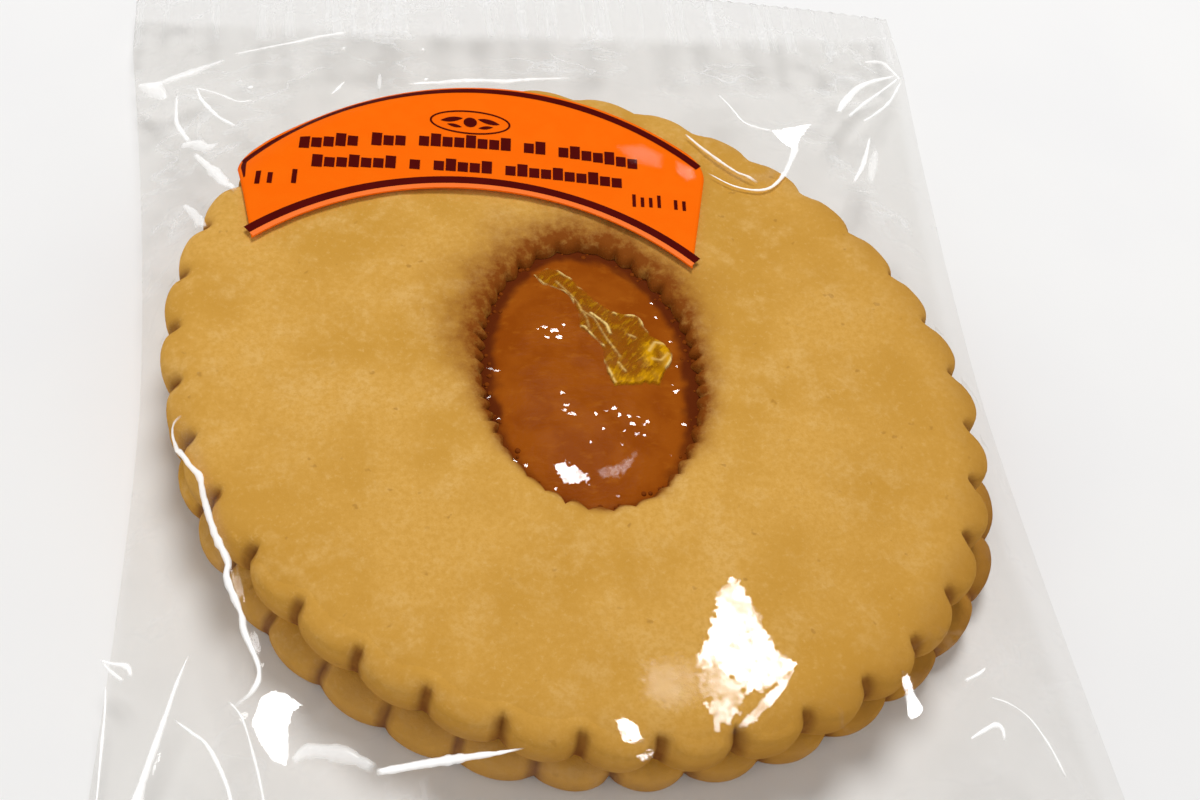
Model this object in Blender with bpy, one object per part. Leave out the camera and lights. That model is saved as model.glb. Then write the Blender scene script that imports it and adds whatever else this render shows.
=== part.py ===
"""A jam-filled shortbread biscuit sealed in a clear film bag, with a curved label on its top.

Metres, +Z up.  The bag lies flat: its width runs along X, its length along Y, and the film under
the biscuit rests at Z = 0.  The origin is the middle of the bag's outline on that plane.  The bag
is shut, so it is one solid: the outer form of the film, tight over the biscuit and slack round it.
"""

import math

import bmesh
import bpy
from mathutils import Vector

MM = 0.001

# Biscuit: a fluted round, a little oval, that shows through the film
BISCUIT_LONG = 106.8 * MM
BISCUIT_SHORT = 93.8 * MM
BISCUIT_TURN = math.radians(136.0)
BISCUIT_CENTRE = Vector((-0.9 * MM, 0.0))
BASE_LONG = 103.5 * MM
BASE_SHORT = 94.0 * MM
BASE_SHIFT = Vector((-0.4 * MM, 0.7 * MM))
BASE_FOOT_SHARE = 0.97
FLUTES = 36
FLUTE_DEPTH = 2.4 * MM
FLUTE_PHASE = math.radians(2.2)
FLUTE_ROUNDNESS = 0.8
FILM_SHARE_OF_FLUTE = 0.6
FLUTE_FADE = 5

# Window in the top biscuit, where the film dips a little towards the jam
WINDOW_LONG = 39.5 * MM
WINDOW_SHORT = 27.0 * MM
WINDOW_CENTRE = Vector((1.2 * MM, 0.0))
WINDOW_TOOTH = 0.9 * MM
WINDOW_DIP = 0.9 * MM
DIP_SHARE = 0.9

# Heights of the film
TOP_HEIGHT = 14.5 * MM
TOP_CROWN = 0.3 * MM
SHOULDER_START = 0.86
SHOULDER_DROP = 2.2 * MM
SHOULDER_POWER = 2.4
SIDE_FOLD_HEIGHT = 5.2 * MM
CORNER_HEIGHT = 3.4 * MM
SEAL_HEIGHT = 7.2 * MM
EDGE_THICKNESS = 0.8 * MM
EDGE_POWER = 2
SLACK_POWER = 1.25
UNDER_POWER = 1.5

# Outline of the bag
BAG_WIDTH = 116.6 * MM
BAG_WAIST = 107.8 * MM
BAG_LENGTH = 154.0 * MM
SEAL_LENGTH = 12.0 * MM
WAIST_POWER = 1.6
BODY_HALF_LENGTH = BAG_LENGTH / 2.0 - SEAL_LENGTH

# Crimped end seals
CRIMP_PITCH = 1.9 * MM
CRIMP_HEIGHT = 0.3 * MM
SEAL_THICKNESS = 0.7 * MM
SEAL_OVERLAP = 1.6 * MM
SEAL_INSET = 0.15 * MM
CUT_TOOTH = 0.7 * MM

# Folds that fan out over the slack film from the biscuit to each corner
CORNER_FOLDS = ((-17.0, 0.5), (-9.0, -0.5), (-2.0, 1.1), (6.0, -0.4), (13.0, 0.7))
FOLD_UNIT = 1.0 * MM
FOLD_WIDTH = math.radians(2.2)

# Label: a banner cut from two arcs, stuck on the film above the window.  Its arcs are given in
# its own flat frame, which starts at the foot and is turned
LABEL_FOOT = Vector((-12.7 * MM, 17.8 * MM))
LABEL_TURN = math.radians(-5.4)
INNER_CENTRE = Vector((0.1 * MM, -30.2 * MM))
INNER_RADIUS = 40.7 * MM
INNER_ENDS = (-27.9 * MM, 27.8 * MM)
OUTER_CENTRE = Vector((1.1 * MM, -11.7 * MM))
OUTER_RADIUS = 41.8 * MM
OUTER_ENDS = (-31.6 * MM, 30.6 * MM)
CORNER_START = 0.8
CORNER_PULL = 0.03
CORNER_REACH = 10
LABEL_GAP = 0.3 * MM
LABEL_THICKNESS = 0.4 * MM

# Mesh divisions
STEPS_PER_FLUTE = 6
RAYS = FLUTES * STEPS_PER_FLUTE
BASE_FLUTE_STEPS = 2
TIGHT_SHARES = (0.6, SHOULDER_START, 0.93, 0.975, 1.0)
SLACK_SHARES = (0.12, 0.3, 0.55, 0.8)
UNDER_SHARES = (0.7, 0.35, 0.12)
OUTLINE_ROUNDS = 30
LABEL_COLUMNS = 32
LABEL_ROWS = 7


def material(name, colour, roughness, metallic=0.0):
    """Principled material with one colour."""
    made = bpy.data.materials.new(name)
    made.use_nodes = True
    shader = made.node_tree.nodes["Principled BSDF"]
    shader.inputs["Base Color"].default_value = (*colour, 1.0)
    shader.inputs["Roughness"].default_value = roughness
    shader.inputs["Metallic"].default_value = metallic
    return made


def object_from(bm, name, finish):
    """Turn a bmesh into a named object of the scene."""
    bmesh.ops.recalc_face_normals(bm, faces=bm.faces)
    mesh = bpy.data.meshes.new(name)
    bm.to_mesh(mesh)
    bm.free()
    mesh.materials.append(finish)
    made = bpy.data.objects.new(name, mesh)
    bpy.context.scene.collection.objects.link(made)
    return made


def ellipse_radius(angle, half_long, half_short, turn):
    """Distance from an ellipse's centre to its edge at an angle."""
    u = math.cos(angle - turn) / half_long
    v = math.sin(angle - turn) / half_short
    return 1.0 / math.hypot(u, v)


def flute(step):
    """How far the film sinks between the flutes: 0 on a lobe, most at a notch."""
    lobe = abs(math.sin(math.pi * step / STEPS_PER_FLUTE)) ** FLUTE_ROUNDNESS
    return FILM_SHARE_OF_FLUTE * FLUTE_DEPTH * (1.0 - lobe)


def rim_radius(angle):
    """Outer tips of the top biscuit's flutes, from the biscuit's centre."""
    return ellipse_radius(angle, BISCUIT_LONG / 2.0, BISCUIT_SHORT / 2.0, BISCUIT_TURN)


def base_radius(angle):
    """Outer tips of the base biscuit, which lies a little off the top one."""
    shift = BASE_SHIFT.x * math.cos(angle) + BASE_SHIFT.y * math.sin(angle)
    return ellipse_radius(angle, BASE_LONG / 2.0, BASE_SHORT / 2.0, BISCUIT_TURN) + shift


def window_radius(angle):
    """Edge of the window without its teeth, from the biscuit's centre."""
    half_short = WINDOW_SHORT / 2.0
    half_long = WINDOW_LONG / 2.0
    ux = math.cos(angle) / half_short
    uy = math.sin(angle) / half_long
    cx = WINDOW_CENTRE.x / half_short
    cy = WINDOW_CENTRE.y / half_long
    a = ux * ux + uy * uy
    b = ux * cx + uy * cy
    c = cx * cx + cy * cy - 1.0
    return (b + math.sqrt(b * b - a * c)) / a


def window_tooth(step):
    """How far the window's toothed edge lies inside the plain one."""
    return WINDOW_TOOTH * (0.5 - 0.5 * math.cos(math.tau * step / STEPS_PER_FLUTE))


def half_width(y):
    """Half the bag's width: it is drawn in at its waist."""
    share = min(abs(y) / BODY_HALF_LENGTH, 1.0) ** WAIST_POWER
    return BAG_WAIST / 2.0 + (BAG_WIDTH - BAG_WAIST) / 2.0 * share


def outline_radius(angle):
    """Distance from the biscuit's centre to the edge of the bag's body."""
    direction = Vector((math.cos(angle), math.sin(angle)))
    radius = BAG_WAIST / 2.0
    for _ in range(OUTLINE_ROUNDS):
        point = BISCUIT_CENTRE + direction * radius
        over = max(abs(point.x) / half_width(point.y), abs(point.y) / BODY_HALF_LENGTH)
        radius /= over
    return radius


def edge_height(x, y):
    """Height of the fold or seal at the edge of the body."""
    along = min(abs(y) / BODY_HALF_LENGTH, 1.0)
    across = min(abs(x) / half_width(y), 1.0)
    side = SIDE_FOLD_HEIGHT + (CORNER_HEIGHT - SIDE_FOLD_HEIGHT) * along ** EDGE_POWER
    end = SEAL_HEIGHT + (CORNER_HEIGHT - SEAL_HEIGHT) * across ** EDGE_POWER
    return end if along > across else side


def end_height(x):
    """Height of a seal where it leaves the body."""
    across = abs(x) / (BAG_WIDTH / 2.0)
    return SEAL_HEIGHT + (CORNER_HEIGHT - SEAL_HEIGHT) * across ** EDGE_POWER


def fold_height(angle, share):
    """Height that the tension folds add to the slack film."""
    height = 0.0
    for side in (1.0, -1.0):
        for end in (1.0, -1.0):
            corner = Vector((side * BAG_WIDTH / 2.0, end * BODY_HALF_LENGTH)) - BISCUIT_CENTRE
            middle = math.atan2(corner.y, corner.x)
            for offset, size in CORNER_FOLDS:
                away = angle - middle - side * end * math.radians(offset)
                away = (away + math.pi) % math.tau - math.pi
                height += size * math.exp(-((away / FOLD_WIDTH) ** 2))
    return height * FOLD_UNIT * math.sin(math.pi * share)


def tight_height(share):
    """Height of the film on the biscuit, where share runs from 0 at its middle to 1 at its rim."""
    crown = TOP_CROWN * (1.0 - share * share)
    shoulder = max(share - SHOULDER_START, 0.0) / (1.0 - SHOULDER_START)
    return TOP_HEIGHT + crown - SHOULDER_DROP * shoulder ** SHOULDER_POWER


def slack_height(angle, share):
    """Height of the slack film, where share runs from 0 at the biscuit to 1 at the bag's edge."""
    place = BISCUIT_CENTRE + Vector((math.cos(angle), math.sin(angle))) * outline_radius(angle)
    low = edge_height(place.x, place.y) + EDGE_THICKNESS / 2.0
    high = tight_height(1.0)
    return low + (high - low) * (1.0 - share) ** SLACK_POWER + fold_height(angle, share)


def ray_angles():
    """Angles of the rays, spaced evenly along the oval edge so that all flutes are as wide."""
    oval = (BISCUIT_LONG - BISCUIT_SHORT) / (BISCUIT_LONG + BISCUIT_SHORT)
    turns = [math.tau * step / RAYS for step in range(RAYS)]
    return [turn + FLUTE_PHASE - oval / 2.0 * math.sin(2.0 * (turn - BISCUIT_TURN)) for turn in turns]


def ring(bm, places):
    """Add a closed ring of vertices."""
    return [bm.verts.new(place) for place in places]


def join_rings(bm, first, second):
    """Bridge two rings with quads."""
    for index in range(len(first)):
        after = (index + 1) % len(first)
        bm.faces.new((first[index], first[after], second[after], second[index]))


def join_rows(bm, first, second):
    """Bridge two open rows with quads."""
    for index in range(len(first) - 1):
        bm.faces.new((first[index], first[index + 1], second[index + 1], second[index]))


def close_slab(bm, under, over):
    """Close two layers of rows into a thin solid."""
    for rows in (under, over):
        for first, second in zip(rows, rows[1:]):
            join_rows(bm, first, second)
    for end in (0, -1):
        join_rows(bm, under[end], over[end])
        join_rows(bm, [row[end] for row in under], [row[end] for row in over])


def corner_places():
    """Nearest ray to each corner of the body, and the corner it is moved to."""
    places = {}
    angles = ray_angles()
    for side in (1.0, -1.0):
        for end in (1.0, -1.0):
            corner = Vector((side * BAG_WIDTH / 2.0, end * BODY_HALF_LENGTH))
            towards = corner - BISCUIT_CENTRE
            wanted = math.atan2(towards.y, towards.x) % math.tau
            nearest = min(range(RAYS), key=lambda index: abs(angles[index] - wanted))
            places[nearest] = corner
    return places


def bag_body(finish):
    """The pillow: upper film, folded or sealed edge, and lower film flat on the floor."""
    bm = bmesh.new()
    angles = ray_angles()
    corners = corner_places()
    windows = [window_radius(angle) for angle in angles]
    teeth = [window_tooth(step) for step in range(RAYS)]
    rims = [rim_radius(angle) for angle in angles]
    flutes = [flute(step) for step in range(RAYS)]
    edges = [outline_radius(angle) for angle in angles]

    def point(index, radius, height):
        flat = BISCUIT_CENTRE + Vector((math.cos(angles[index]), math.sin(angles[index]))) * radius
        return Vector((flat.x, flat.y, height))

    rings = []
    sunk = TOP_HEIGHT - WINDOW_DIP
    rings.append(ring(bm, [point(i, windows[i] * DIP_SHARE - teeth[i], sunk) for i in range(RAYS)]))
    level = tight_height(0.0)
    rings.append(ring(bm, [point(i, windows[i] - teeth[i], level) for i in range(RAYS)]))
    rings.append(ring(bm, [point(i, windows[i] + WINDOW_TOOTH, level) for i in range(RAYS)]))
    for share in TIGHT_SHARES:
        height = tight_height(share)
        reach = max(share - SHOULDER_START, 0.0) / (1.0 - SHOULDER_START)
        places = [point(i, rims[i] * share - flutes[i] * reach, height) for i in range(RAYS)]
        rings.append(ring(bm, places))
    for share in SLACK_SHARES:
        places = []
        fade = (1.0 - share) ** FLUTE_FADE
        for i in range(RAYS):
            radius = rims[i] + (edges[i] - rims[i]) * share - flutes[i] * fade
            places.append(point(i, radius, slack_height(angles[i], share)))
        rings.append(ring(bm, places))

    for side in (1.0, -1.0):
        places = []
        for i in range(RAYS):
            place = point(i, edges[i], 0.0)
            if i in corners:
                place = Vector((corners[i].x, corners[i].y, 0.0))
            place.z = edge_height(place.x, place.y) + side * EDGE_THICKNESS / 2.0
            places.append(place)
        rings.append(ring(bm, places))

    bases = [base_radius(angle) for angle in angles]
    base_flutes = [flute(step + BASE_FLUTE_STEPS) for step in range(RAYS)]
    for share in UNDER_SHARES:
        places = []
        fade = (1.0 - share) ** FLUTE_FADE
        for i in range(RAYS):
            radius = bases[i] + (edges[i] - bases[i]) * share - base_flutes[i] * fade
            outer = point(i, edges[i], 0.0)
            low = edge_height(outer.x, outer.y) - EDGE_THICKNESS / 2.0
            height = low * share ** UNDER_POWER
            places.append(point(i, radius, height))
        rings.append(ring(bm, places))
    feet = [point(i, bases[i] * BASE_FOOT_SHARE - base_flutes[i], 0.0) for i in range(RAYS)]
    rings.append(ring(bm, feet))

    for first, second in zip(rings, rings[1:]):
        join_rings(bm, first, second)
    bm.faces.new(rings[0])
    bm.faces.new(rings[-1])
    return object_from(bm, "bag", finish)


def seal_strip(name, end, finish):
    """One crimped end seal: a strip with ribs along the bag's length and a toothed cut edge."""
    bm = bmesh.new()
    columns = 2 * round(BAG_WIDTH / CRIMP_PITCH)
    inner = BODY_HALF_LENGTH - SEAL_OVERLAP
    start = BODY_HALF_LENGTH + SEAL_OVERLAP
    outer = BAG_LENGTH / 2.0
    layers = []
    for side in (1.0, -1.0):
        rows = []
        for row, y in enumerate((inner, start, outer)):
            places = []
            for column in range(columns + 1):
                x = BAG_WIDTH * (column / columns - 0.5)
                rib = CRIMP_HEIGHT * (column % 2) if row else 0.0
                tooth = CUT_TOOTH * (column % 2) if row == 2 else 0.0
                inset = SEAL_INSET if row == 0 else 0.0
                height = end_height(x) + rib
                height += side * (SEAL_THICKNESS / 2.0 - inset)
                narrowed = x * (half_width(y) / (BAG_WIDTH / 2.0))
                places.append(bm.verts.new((narrowed, end * (y - tooth), height)))
            rows.append(places)
        layers.append(rows)
    close_slab(bm, *layers)
    return object_from(bm, name, finish)


def fuse(body, others):
    """Join other solids to a body and remove them."""
    group = bpy.data.collections.new("fused")
    for other in others:
        bpy.context.scene.collection.objects.unlink(other)
        group.objects.link(other)
    union = body.modifiers.new("union", "BOOLEAN")
    union.operation = "UNION"
    union.solver = "EXACT"
    union.operand_type = "COLLECTION"
    union.collection = group
    graph = bpy.context.evaluated_depsgraph_get()
    joined = bpy.data.meshes.new_from_object(body.evaluated_get(graph))
    body.modifiers.clear()
    body.data = joined
    for other in others:
        bpy.data.objects.remove(other)
    bpy.data.collections.remove(group)


def arc_place(centre, radius, ends, along):
    """Place on one of the label's arcs: along runs 0 to 1 from its left end to its right end."""
    first, last = [math.asin((x - centre.x) / radius) for x in ends]
    turn = first + (last - first) * along
    return centre + Vector((math.sin(turn), math.cos(turn))) * radius


def label_place(along, up):
    """Place on the label: along runs 0 to 1 between its ends, up runs 0 to 1 over its height."""
    low = arc_place(INNER_CENTRE, INNER_RADIUS, INNER_ENDS, along)
    high = arc_place(OUTER_CENTRE, OUTER_RADIUS, OUTER_ENDS, along)
    flat = low.lerp(high, up)
    x = flat.x * math.cos(LABEL_TURN) - flat.y * math.sin(LABEL_TURN)
    y = flat.x * math.sin(LABEL_TURN) + flat.y * math.cos(LABEL_TURN)
    return LABEL_FOOT + Vector((x, y))


def label_height(place):
    """Height of the label's underside: it bridges the flutes of the biscuit's edge."""
    away = place - BISCUIT_CENTRE
    angle = math.atan2(away.y, away.x) % math.tau
    rim = rim_radius(angle)
    if away.length < rim:
        return tight_height(away.length / rim) + LABEL_GAP
    share = (away.length - rim) / (outline_radius(angle) - rim)
    return slack_height(angle, share) + LABEL_GAP


def label(finish):
    """The label: a thin sheet bent over the edge of the biscuit, with rounded upper corners."""
    bm = bmesh.new()
    layers = []
    for lift in (0.0, LABEL_THICKNESS):
        rows = []
        for row in range(LABEL_ROWS + 1):
            up = row / LABEL_ROWS
            places = []
            for column in range(LABEL_COLUMNS + 1):
                along = column / LABEL_COLUMNS
                outward = 2.0 * along - 1.0
                rounding = max(up - CORNER_START, 0.0) / (1.0 - CORNER_START)
                pull = CORNER_PULL * rounding * abs(outward) ** CORNER_REACH
                place = label_place(along - pull * outward, up)
                places.append(bm.verts.new((place.x, place.y, label_height(place) + lift)))
            rows.append(places)
        layers.append(rows)
    close_slab(bm, *layers)
    return object_from(bm, "label", finish)


def build():
    """Clear the scene and model the part."""
    for old in list(bpy.data.objects):
        bpy.data.objects.remove(old)
    film = material("clear_film", (0.62, 0.45, 0.22), 0.2)
    print_orange = material("label_film", (1.0, 0.16, 0.01), 0.35)
    body = bag_body(film)
    seals = [seal_strip("upper_seal", 1.0, film), seal_strip("lower_seal", -1.0, film)]
    fuse(body, seals)
    label(print_orange)


build()
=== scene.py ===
"""Looks of a jam-filled shortbread sandwich sealed in a clear film bag with a curved label.

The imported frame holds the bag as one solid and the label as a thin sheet.  Here the bag becomes
clear film over its real contents: two fluted biscuits, and jam with beads and a strip of peel.
Lengths in the classes are millimetres, and meshes are written in metres.
"""

from __future__ import annotations

import logging
import math
from dataclasses import dataclass, replace
from enum import Enum
from typing import Callable, Sequence

import bmesh
import bpy
import numpy as np
from mathutils import Matrix, Quaternion, Vector, noise


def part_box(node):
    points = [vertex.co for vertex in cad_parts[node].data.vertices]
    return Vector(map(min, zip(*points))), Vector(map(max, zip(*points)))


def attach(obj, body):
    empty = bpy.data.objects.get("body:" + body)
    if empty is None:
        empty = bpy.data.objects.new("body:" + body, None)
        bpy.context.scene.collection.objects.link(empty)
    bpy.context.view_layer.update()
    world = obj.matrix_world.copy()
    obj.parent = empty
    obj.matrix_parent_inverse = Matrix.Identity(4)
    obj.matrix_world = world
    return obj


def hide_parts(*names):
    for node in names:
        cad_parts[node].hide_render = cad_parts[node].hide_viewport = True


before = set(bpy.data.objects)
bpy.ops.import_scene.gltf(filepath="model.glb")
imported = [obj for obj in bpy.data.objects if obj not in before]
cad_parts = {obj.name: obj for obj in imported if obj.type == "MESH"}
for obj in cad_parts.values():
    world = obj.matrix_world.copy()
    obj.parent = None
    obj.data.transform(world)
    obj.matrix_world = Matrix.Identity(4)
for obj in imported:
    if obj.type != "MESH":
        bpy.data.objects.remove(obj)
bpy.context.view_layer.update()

LOG = logging.getLogger("shortbread")
MM = 0.001
BODY = "root"

Array = np.ndarray
Shape = Callable[[Array, Array], tuple[Array, Array]]
Line = Sequence[tuple[float, float]]
Pairs = tuple[tuple[float, float], ...]
Triple = tuple[float, float, float]
Ripples = Sequence[Triple]


class Attr(Enum):
    """Vertex attributes that materials read."""

    SOAK = "soak"
    # Painted shade, partly browning, in the notches, painted shade round the bulges, and browning down the
    # sides and at the foot.
    SHADE_AND_BROWNING = "shade_and_browning"
    # Painted shade, darker towards one side of the top and rim, and browning down the walls.
    SHADE_AND_BAKE = "shade_and_bake"
    # Whiteness of the creases, partly a painted highlight.
    CREASE = "crease"
    SEAL = "seal"
    RIND = "rind"
    TILT = "tilt"
    FADE = "fade"
    CLING = "cling"
    # Where whitish streaks lie on the slack film, partly haze and partly painted sheen.
    SLACK = "slack"


# Shader graphs


class Link:
    """A node's output socket that Python expressions can use."""

    def __init__(self, graph: Graph, socket: bpy.types.NodeSocket) -> None:
        """Keep the socket and the graph that it is in."""
        self.graph = graph
        self.socket = socket

    def _math(self, operation: str, *values: Link | float) -> Link:
        """Add a Math node on these values."""
        settings = {"operation": operation}
        return self.graph.node("ShaderNodeMath", settings, dict(enumerate(values)))

    def __add__(self, other: Link | float) -> Link:
        """Sum."""
        return self._math("ADD", self, other)

    def __radd__(self, other: float) -> Link:
        """Sum with a plain number first."""
        return self._math("ADD", other, self)

    def __sub__(self, other: Link | float) -> Link:
        """Difference."""
        return self._math("SUBTRACT", self, other)

    def __rsub__(self, other: float) -> Link:
        """Difference from a plain number."""
        return self._math("SUBTRACT", other, self)

    def __mul__(self, other: Link | float) -> Link:
        """Product."""
        return self._math("MULTIPLY", self, other)

    def __rmul__(self, other: float) -> Link:
        """Product with a plain number first."""
        return self._math("MULTIPLY", other, self)

    def __pow__(self, other: float) -> Link:
        """Power."""
        return self._math("POWER", self, other)

    def clamp(self) -> Link:
        """Value kept between 0 and 1."""
        return self._math("MINIMUM", self._math("MAXIMUM", self, 0.0), 1.0)

    def ramp(self, low: float, high: float) -> Link:
        """Smooth rise from 0 at low to 1 at high."""
        settings = {"interpolation_type": "SMOOTHSTEP"}
        return self.graph.node("ShaderNodeMapRange", settings, {0: self, 1: low, 2: high})


class Graph:
    """Node graph of one material."""

    def __init__(self, name: str) -> None:
        """Make an empty material.

        Args:
            name: The material's name.
        """
        self.material = bpy.data.materials.new(name)
        self.material.use_nodes = True
        self.tree = self.material.node_tree
        self.tree.nodes.clear()

    def node(
        self,
        kind: str,
        settings: dict[str, object] | None = None,
        inputs: dict[str | int, object] | None = None,
        output: str | int = 0,
    ) -> Link:
        """Add a node.

        Args:
            kind: Blender's name of the node's type.
            settings: Properties, set before the sockets.
            inputs: Values or links of the sockets, by name or place.
            output: The output to return.

        Returns:
            The chosen output.
        """
        made = self.tree.nodes.new(kind)
        for key, value in (settings or {}).items():
            setattr(made, key, value)
        for key, value in (inputs or {}).items():
            if isinstance(value, Link):
                self.tree.links.new(value.socket, made.inputs[key])
            elif isinstance(value, tuple) and len(value) == 3 and made.inputs[key].type == "RGBA":
                made.inputs[key].default_value = (*value, 1.0)
            else:
                made.inputs[key].default_value = value
        return Link(self, made.outputs[output])

    def place(self, stretch: Triple = (1.0, 1.0, 1.0)) -> Link:
        """Object coordinates, stretched."""
        here = self.node("ShaderNodeTexCoord", output="Object")
        return self.node("ShaderNodeMapping", {}, {"Vector": here, "Scale": stretch})

    def attribute(self, name: Attr) -> Link:
        """A vertex attribute's value."""
        return self.node("ShaderNodeAttribute", {"attribute_name": name.value}, output="Fac")

    def noise(self, place: Link, size: float, detail: float = 2.0, rough: float = 0.5) -> Link:
        """Noise whose blotches measure about size millimetres."""
        values = {"Vector": place, "Scale": 1.0 / (size * MM), "Detail": detail, "Roughness": rough}
        return self.node("ShaderNodeTexNoise", {}, values)

    def mix(self, share: Link | float, first: object, second: object) -> Link:
        """Blend two colours."""
        settings = {"data_type": "RGBA"}
        return self.node("ShaderNodeMix", settings, {0: share, 6: first, 7: second}, 2)

    def bump(self, height: Link, depth: float, strength: float = 1.0) -> Link:
        """Normal from a height of 0 to 1 that stands for depth millimetres."""
        values = {"Height": height, "Distance": depth * MM, "Strength": strength}
        return self.node("ShaderNodeBump", {}, values)

    def principled(self, **inputs: object) -> Link:
        """Principled shader whose sockets are named with underscores for spaces."""
        values = {key.replace("_", " "): value for key, value in inputs.items()}
        return self.node("ShaderNodeBsdfPrincipled", {}, values)

    def clear(self, tint: Triple = (1.0, 1.0, 1.0)) -> Link:
        """See-through shader."""
        return self.node("ShaderNodeBsdfTransparent", {}, {"Color": tint})

    def blend(self, share: Link | float, first: Link, second: Link) -> Link:
        """Mix two shaders."""
        return self.node("ShaderNodeMixShader", {}, {0: share, 1: first, 2: second})

    def finish(self, shader: Link) -> bpy.types.Material:
        """Join the shader to the output and hand the material over.

        Args:
            shader: Shader of the surface.

        Returns:
            The new material.
        """
        output = self.tree.nodes.new("ShaderNodeOutputMaterial")
        self.tree.links.new(shader.socket, output.inputs["Surface"])
        return self.material


# Finishes


@dataclass(frozen=True)
class BakedFinish:
    """Pale shortbread: matte, finely grained, with painted shade in its notches and on one side, soaked at
    the jam.
    """

    name: str
    crumb: Triple = (0.77, 0.43, 0.096)
    pale: Triple = (0.84, 0.52, 0.170)
    gold: Triple = (0.66, 0.345, 0.057)
    # Darker colour of the painted shade on one side, and of the browning down the walls.
    baked: Triple = (0.50, 0.245, 0.036)
    # Brown of the specks, and of the painted shade in the notches and round the bulges.
    brown: Triple = (0.215, 0.074, 0.014)
    soaked: Triple = (0.255, 0.067, 0.007)
    blotch_size: float = 15.0
    patch_size: float = 4.0
    grain_size: float = 0.75
    speck_size: float = 1.7
    fuzz_size: float = 1.8
    pit_size: float = 0.25
    grain: float = 0.13

    def material(self) -> bpy.types.Material:
        """Build the material.

        Returns:
            The new material.
        """
        g = Graph(self.name)
        here = g.place()
        blotch = g.noise(here, self.blotch_size, 3.0)
        patch = g.noise(here, self.patch_size, 4.0, 0.65)
        grain = g.noise(here, self.grain_size, 4.0, 0.75)
        colour = g.mix(blotch.ramp(0.36, 0.64), self.gold, self.crumb)
        colour = g.mix(patch.ramp(0.46, 0.72) * 0.6, colour, self.pale)
        colour = g.mix(grain.ramp(0.56, 0.38) * 0.5, colour, self.gold)
        colour = g.mix(grain.ramp(0.54, 0.72) * 0.5, colour, self.pale)
        speck = g.noise(here, self.speck_size, 2.0).ramp(0.70, 0.77)
        colour = g.mix(speck * 0.30, colour, self.brown)
        # Painted shade on one side of the top and rim, and browning down the walls.
        colour = g.mix(g.attribute(Attr.SHADE_AND_BAKE) * (0.5 + patch), colour, self.baked)
        # Painted shade, partly browning, in the notches, painted shade round the bulges, and browning down
        # the sides and at the foot.
        shade_and_browning = g.attribute(Attr.SHADE_AND_BROWNING)
        colour = g.mix((shade_and_browning * (0.65 + patch * 0.7)).clamp(), colour, self.brown)
        fuzz = g.noise(here, self.fuzz_size, 4.0, 0.7)
        soak = (g.attribute(Attr.SOAK) * (0.15 + fuzz * 1.7)).clamp()
        colour = g.mix(soak, colour, self.soaked)
        height = grain * 0.7 + patch * 0.35 + g.noise(here, self.pit_size, 2.0) * 0.2
        shader = g.principled(
            Base_Color=colour,
            Roughness=(0.85 - soak * 0.15),
            Specular_IOR_Level=0.04,
            Normal=g.bump(height, self.grain),
        )
        return g.finish(shader)


@dataclass(frozen=True)
class JamFinish:
    """Amber jam: wet, a little cloudy, darker in blotches and towards the window's edge."""

    name: str = "apricot_jam"
    amber: Triple = (0.372, 0.090, 0.006)
    deep: Triple = (0.31, 0.067, 0.004)
    light: Triple = (0.45, 0.130, 0.010)
    edge: Triple = (0.125, 0.022, 0.005)
    cloud_size: float = 6.0
    fibre_size: float = 2.6
    depth: float = 0.14

    def material(self) -> bpy.types.Material:
        """Build the material.

        Returns:
            The new material.
        """
        g = Graph(self.name)
        here = g.place()
        cloud = g.noise(here, self.cloud_size, 3.0, 0.6)
        fibre = g.noise(g.place((1.0, 2.0, 1.0)), self.fibre_size, 4.0, 0.65)
        colour = g.mix(cloud.ramp(0.36, 0.62), self.deep, self.amber)
        colour = g.mix(fibre.ramp(0.52, 0.70) * 0.45, colour, self.light)
        # Darker towards the window's edge, where the jam meets the toothed wall.
        colour = g.mix(g.attribute(Attr.SOAK), colour, self.edge)
        height = fibre * 0.7 + g.noise(here, 0.9, 2.0) * 0.25
        shader = g.principled(
            Base_Color=colour,
            Roughness=0.20,
            Specular_IOR_Level=0.007,
            Normal=g.bump(height, self.depth),
        )
        return g.finish(shader)


@dataclass(frozen=True)
class PeelFinish:
    """Translucent yellow peel with a lighter, crinkled rind."""

    name: str = "candied_peel"
    flesh: Triple = (0.43, 0.165, 0.004)
    yolk: Triple = (0.74, 0.360, 0.003)
    vein: Triple = (0.96, 0.70, 0.26)

    def material(self) -> bpy.types.Material:
        """Build the material.

        Returns:
            The new material.
        """
        g = Graph(self.name)
        here = g.place()
        broken = g.noise(here, 0.9, 3.0, 0.65).ramp(0.32, 0.52)
        grained = g.node("ShaderNodeMapping", {}, {"Vector": here, "Rotation": (0.0, 0.0, 0.65)})
        grained = g.node("ShaderNodeMapping", {}, {"Vector": grained, "Scale": (2.4, 0.8, 1.0)})
        crinkle = g.noise(grained, 1.3, 3.0, 0.6)
        vein = (g.attribute(Attr.RIND) * (0.55 + broken * 0.9)).clamp()
        thick = g.attribute(Attr.SOAK)
        colour = g.mix((thick * 0.9 + crinkle.ramp(0.45, 0.70) * 0.4).clamp(), self.flesh, self.yolk)
        colour = g.mix(vein, colour, self.vein)
        solid = g.principled(
            Base_Color=colour,
            Roughness=0.3,
            Specular_IOR_Level=0.03,
            Normal=g.bump(crinkle, 0.10),
        )
        clear = g.clear()
        share = 0.30 + vein * 0.7 + thick * 0.6 + crinkle.ramp(0.45, 0.65) * 0.4
        return g.finish(g.blend((share * g.attribute(Attr.FADE)).clamp(), clear, solid))


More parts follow.
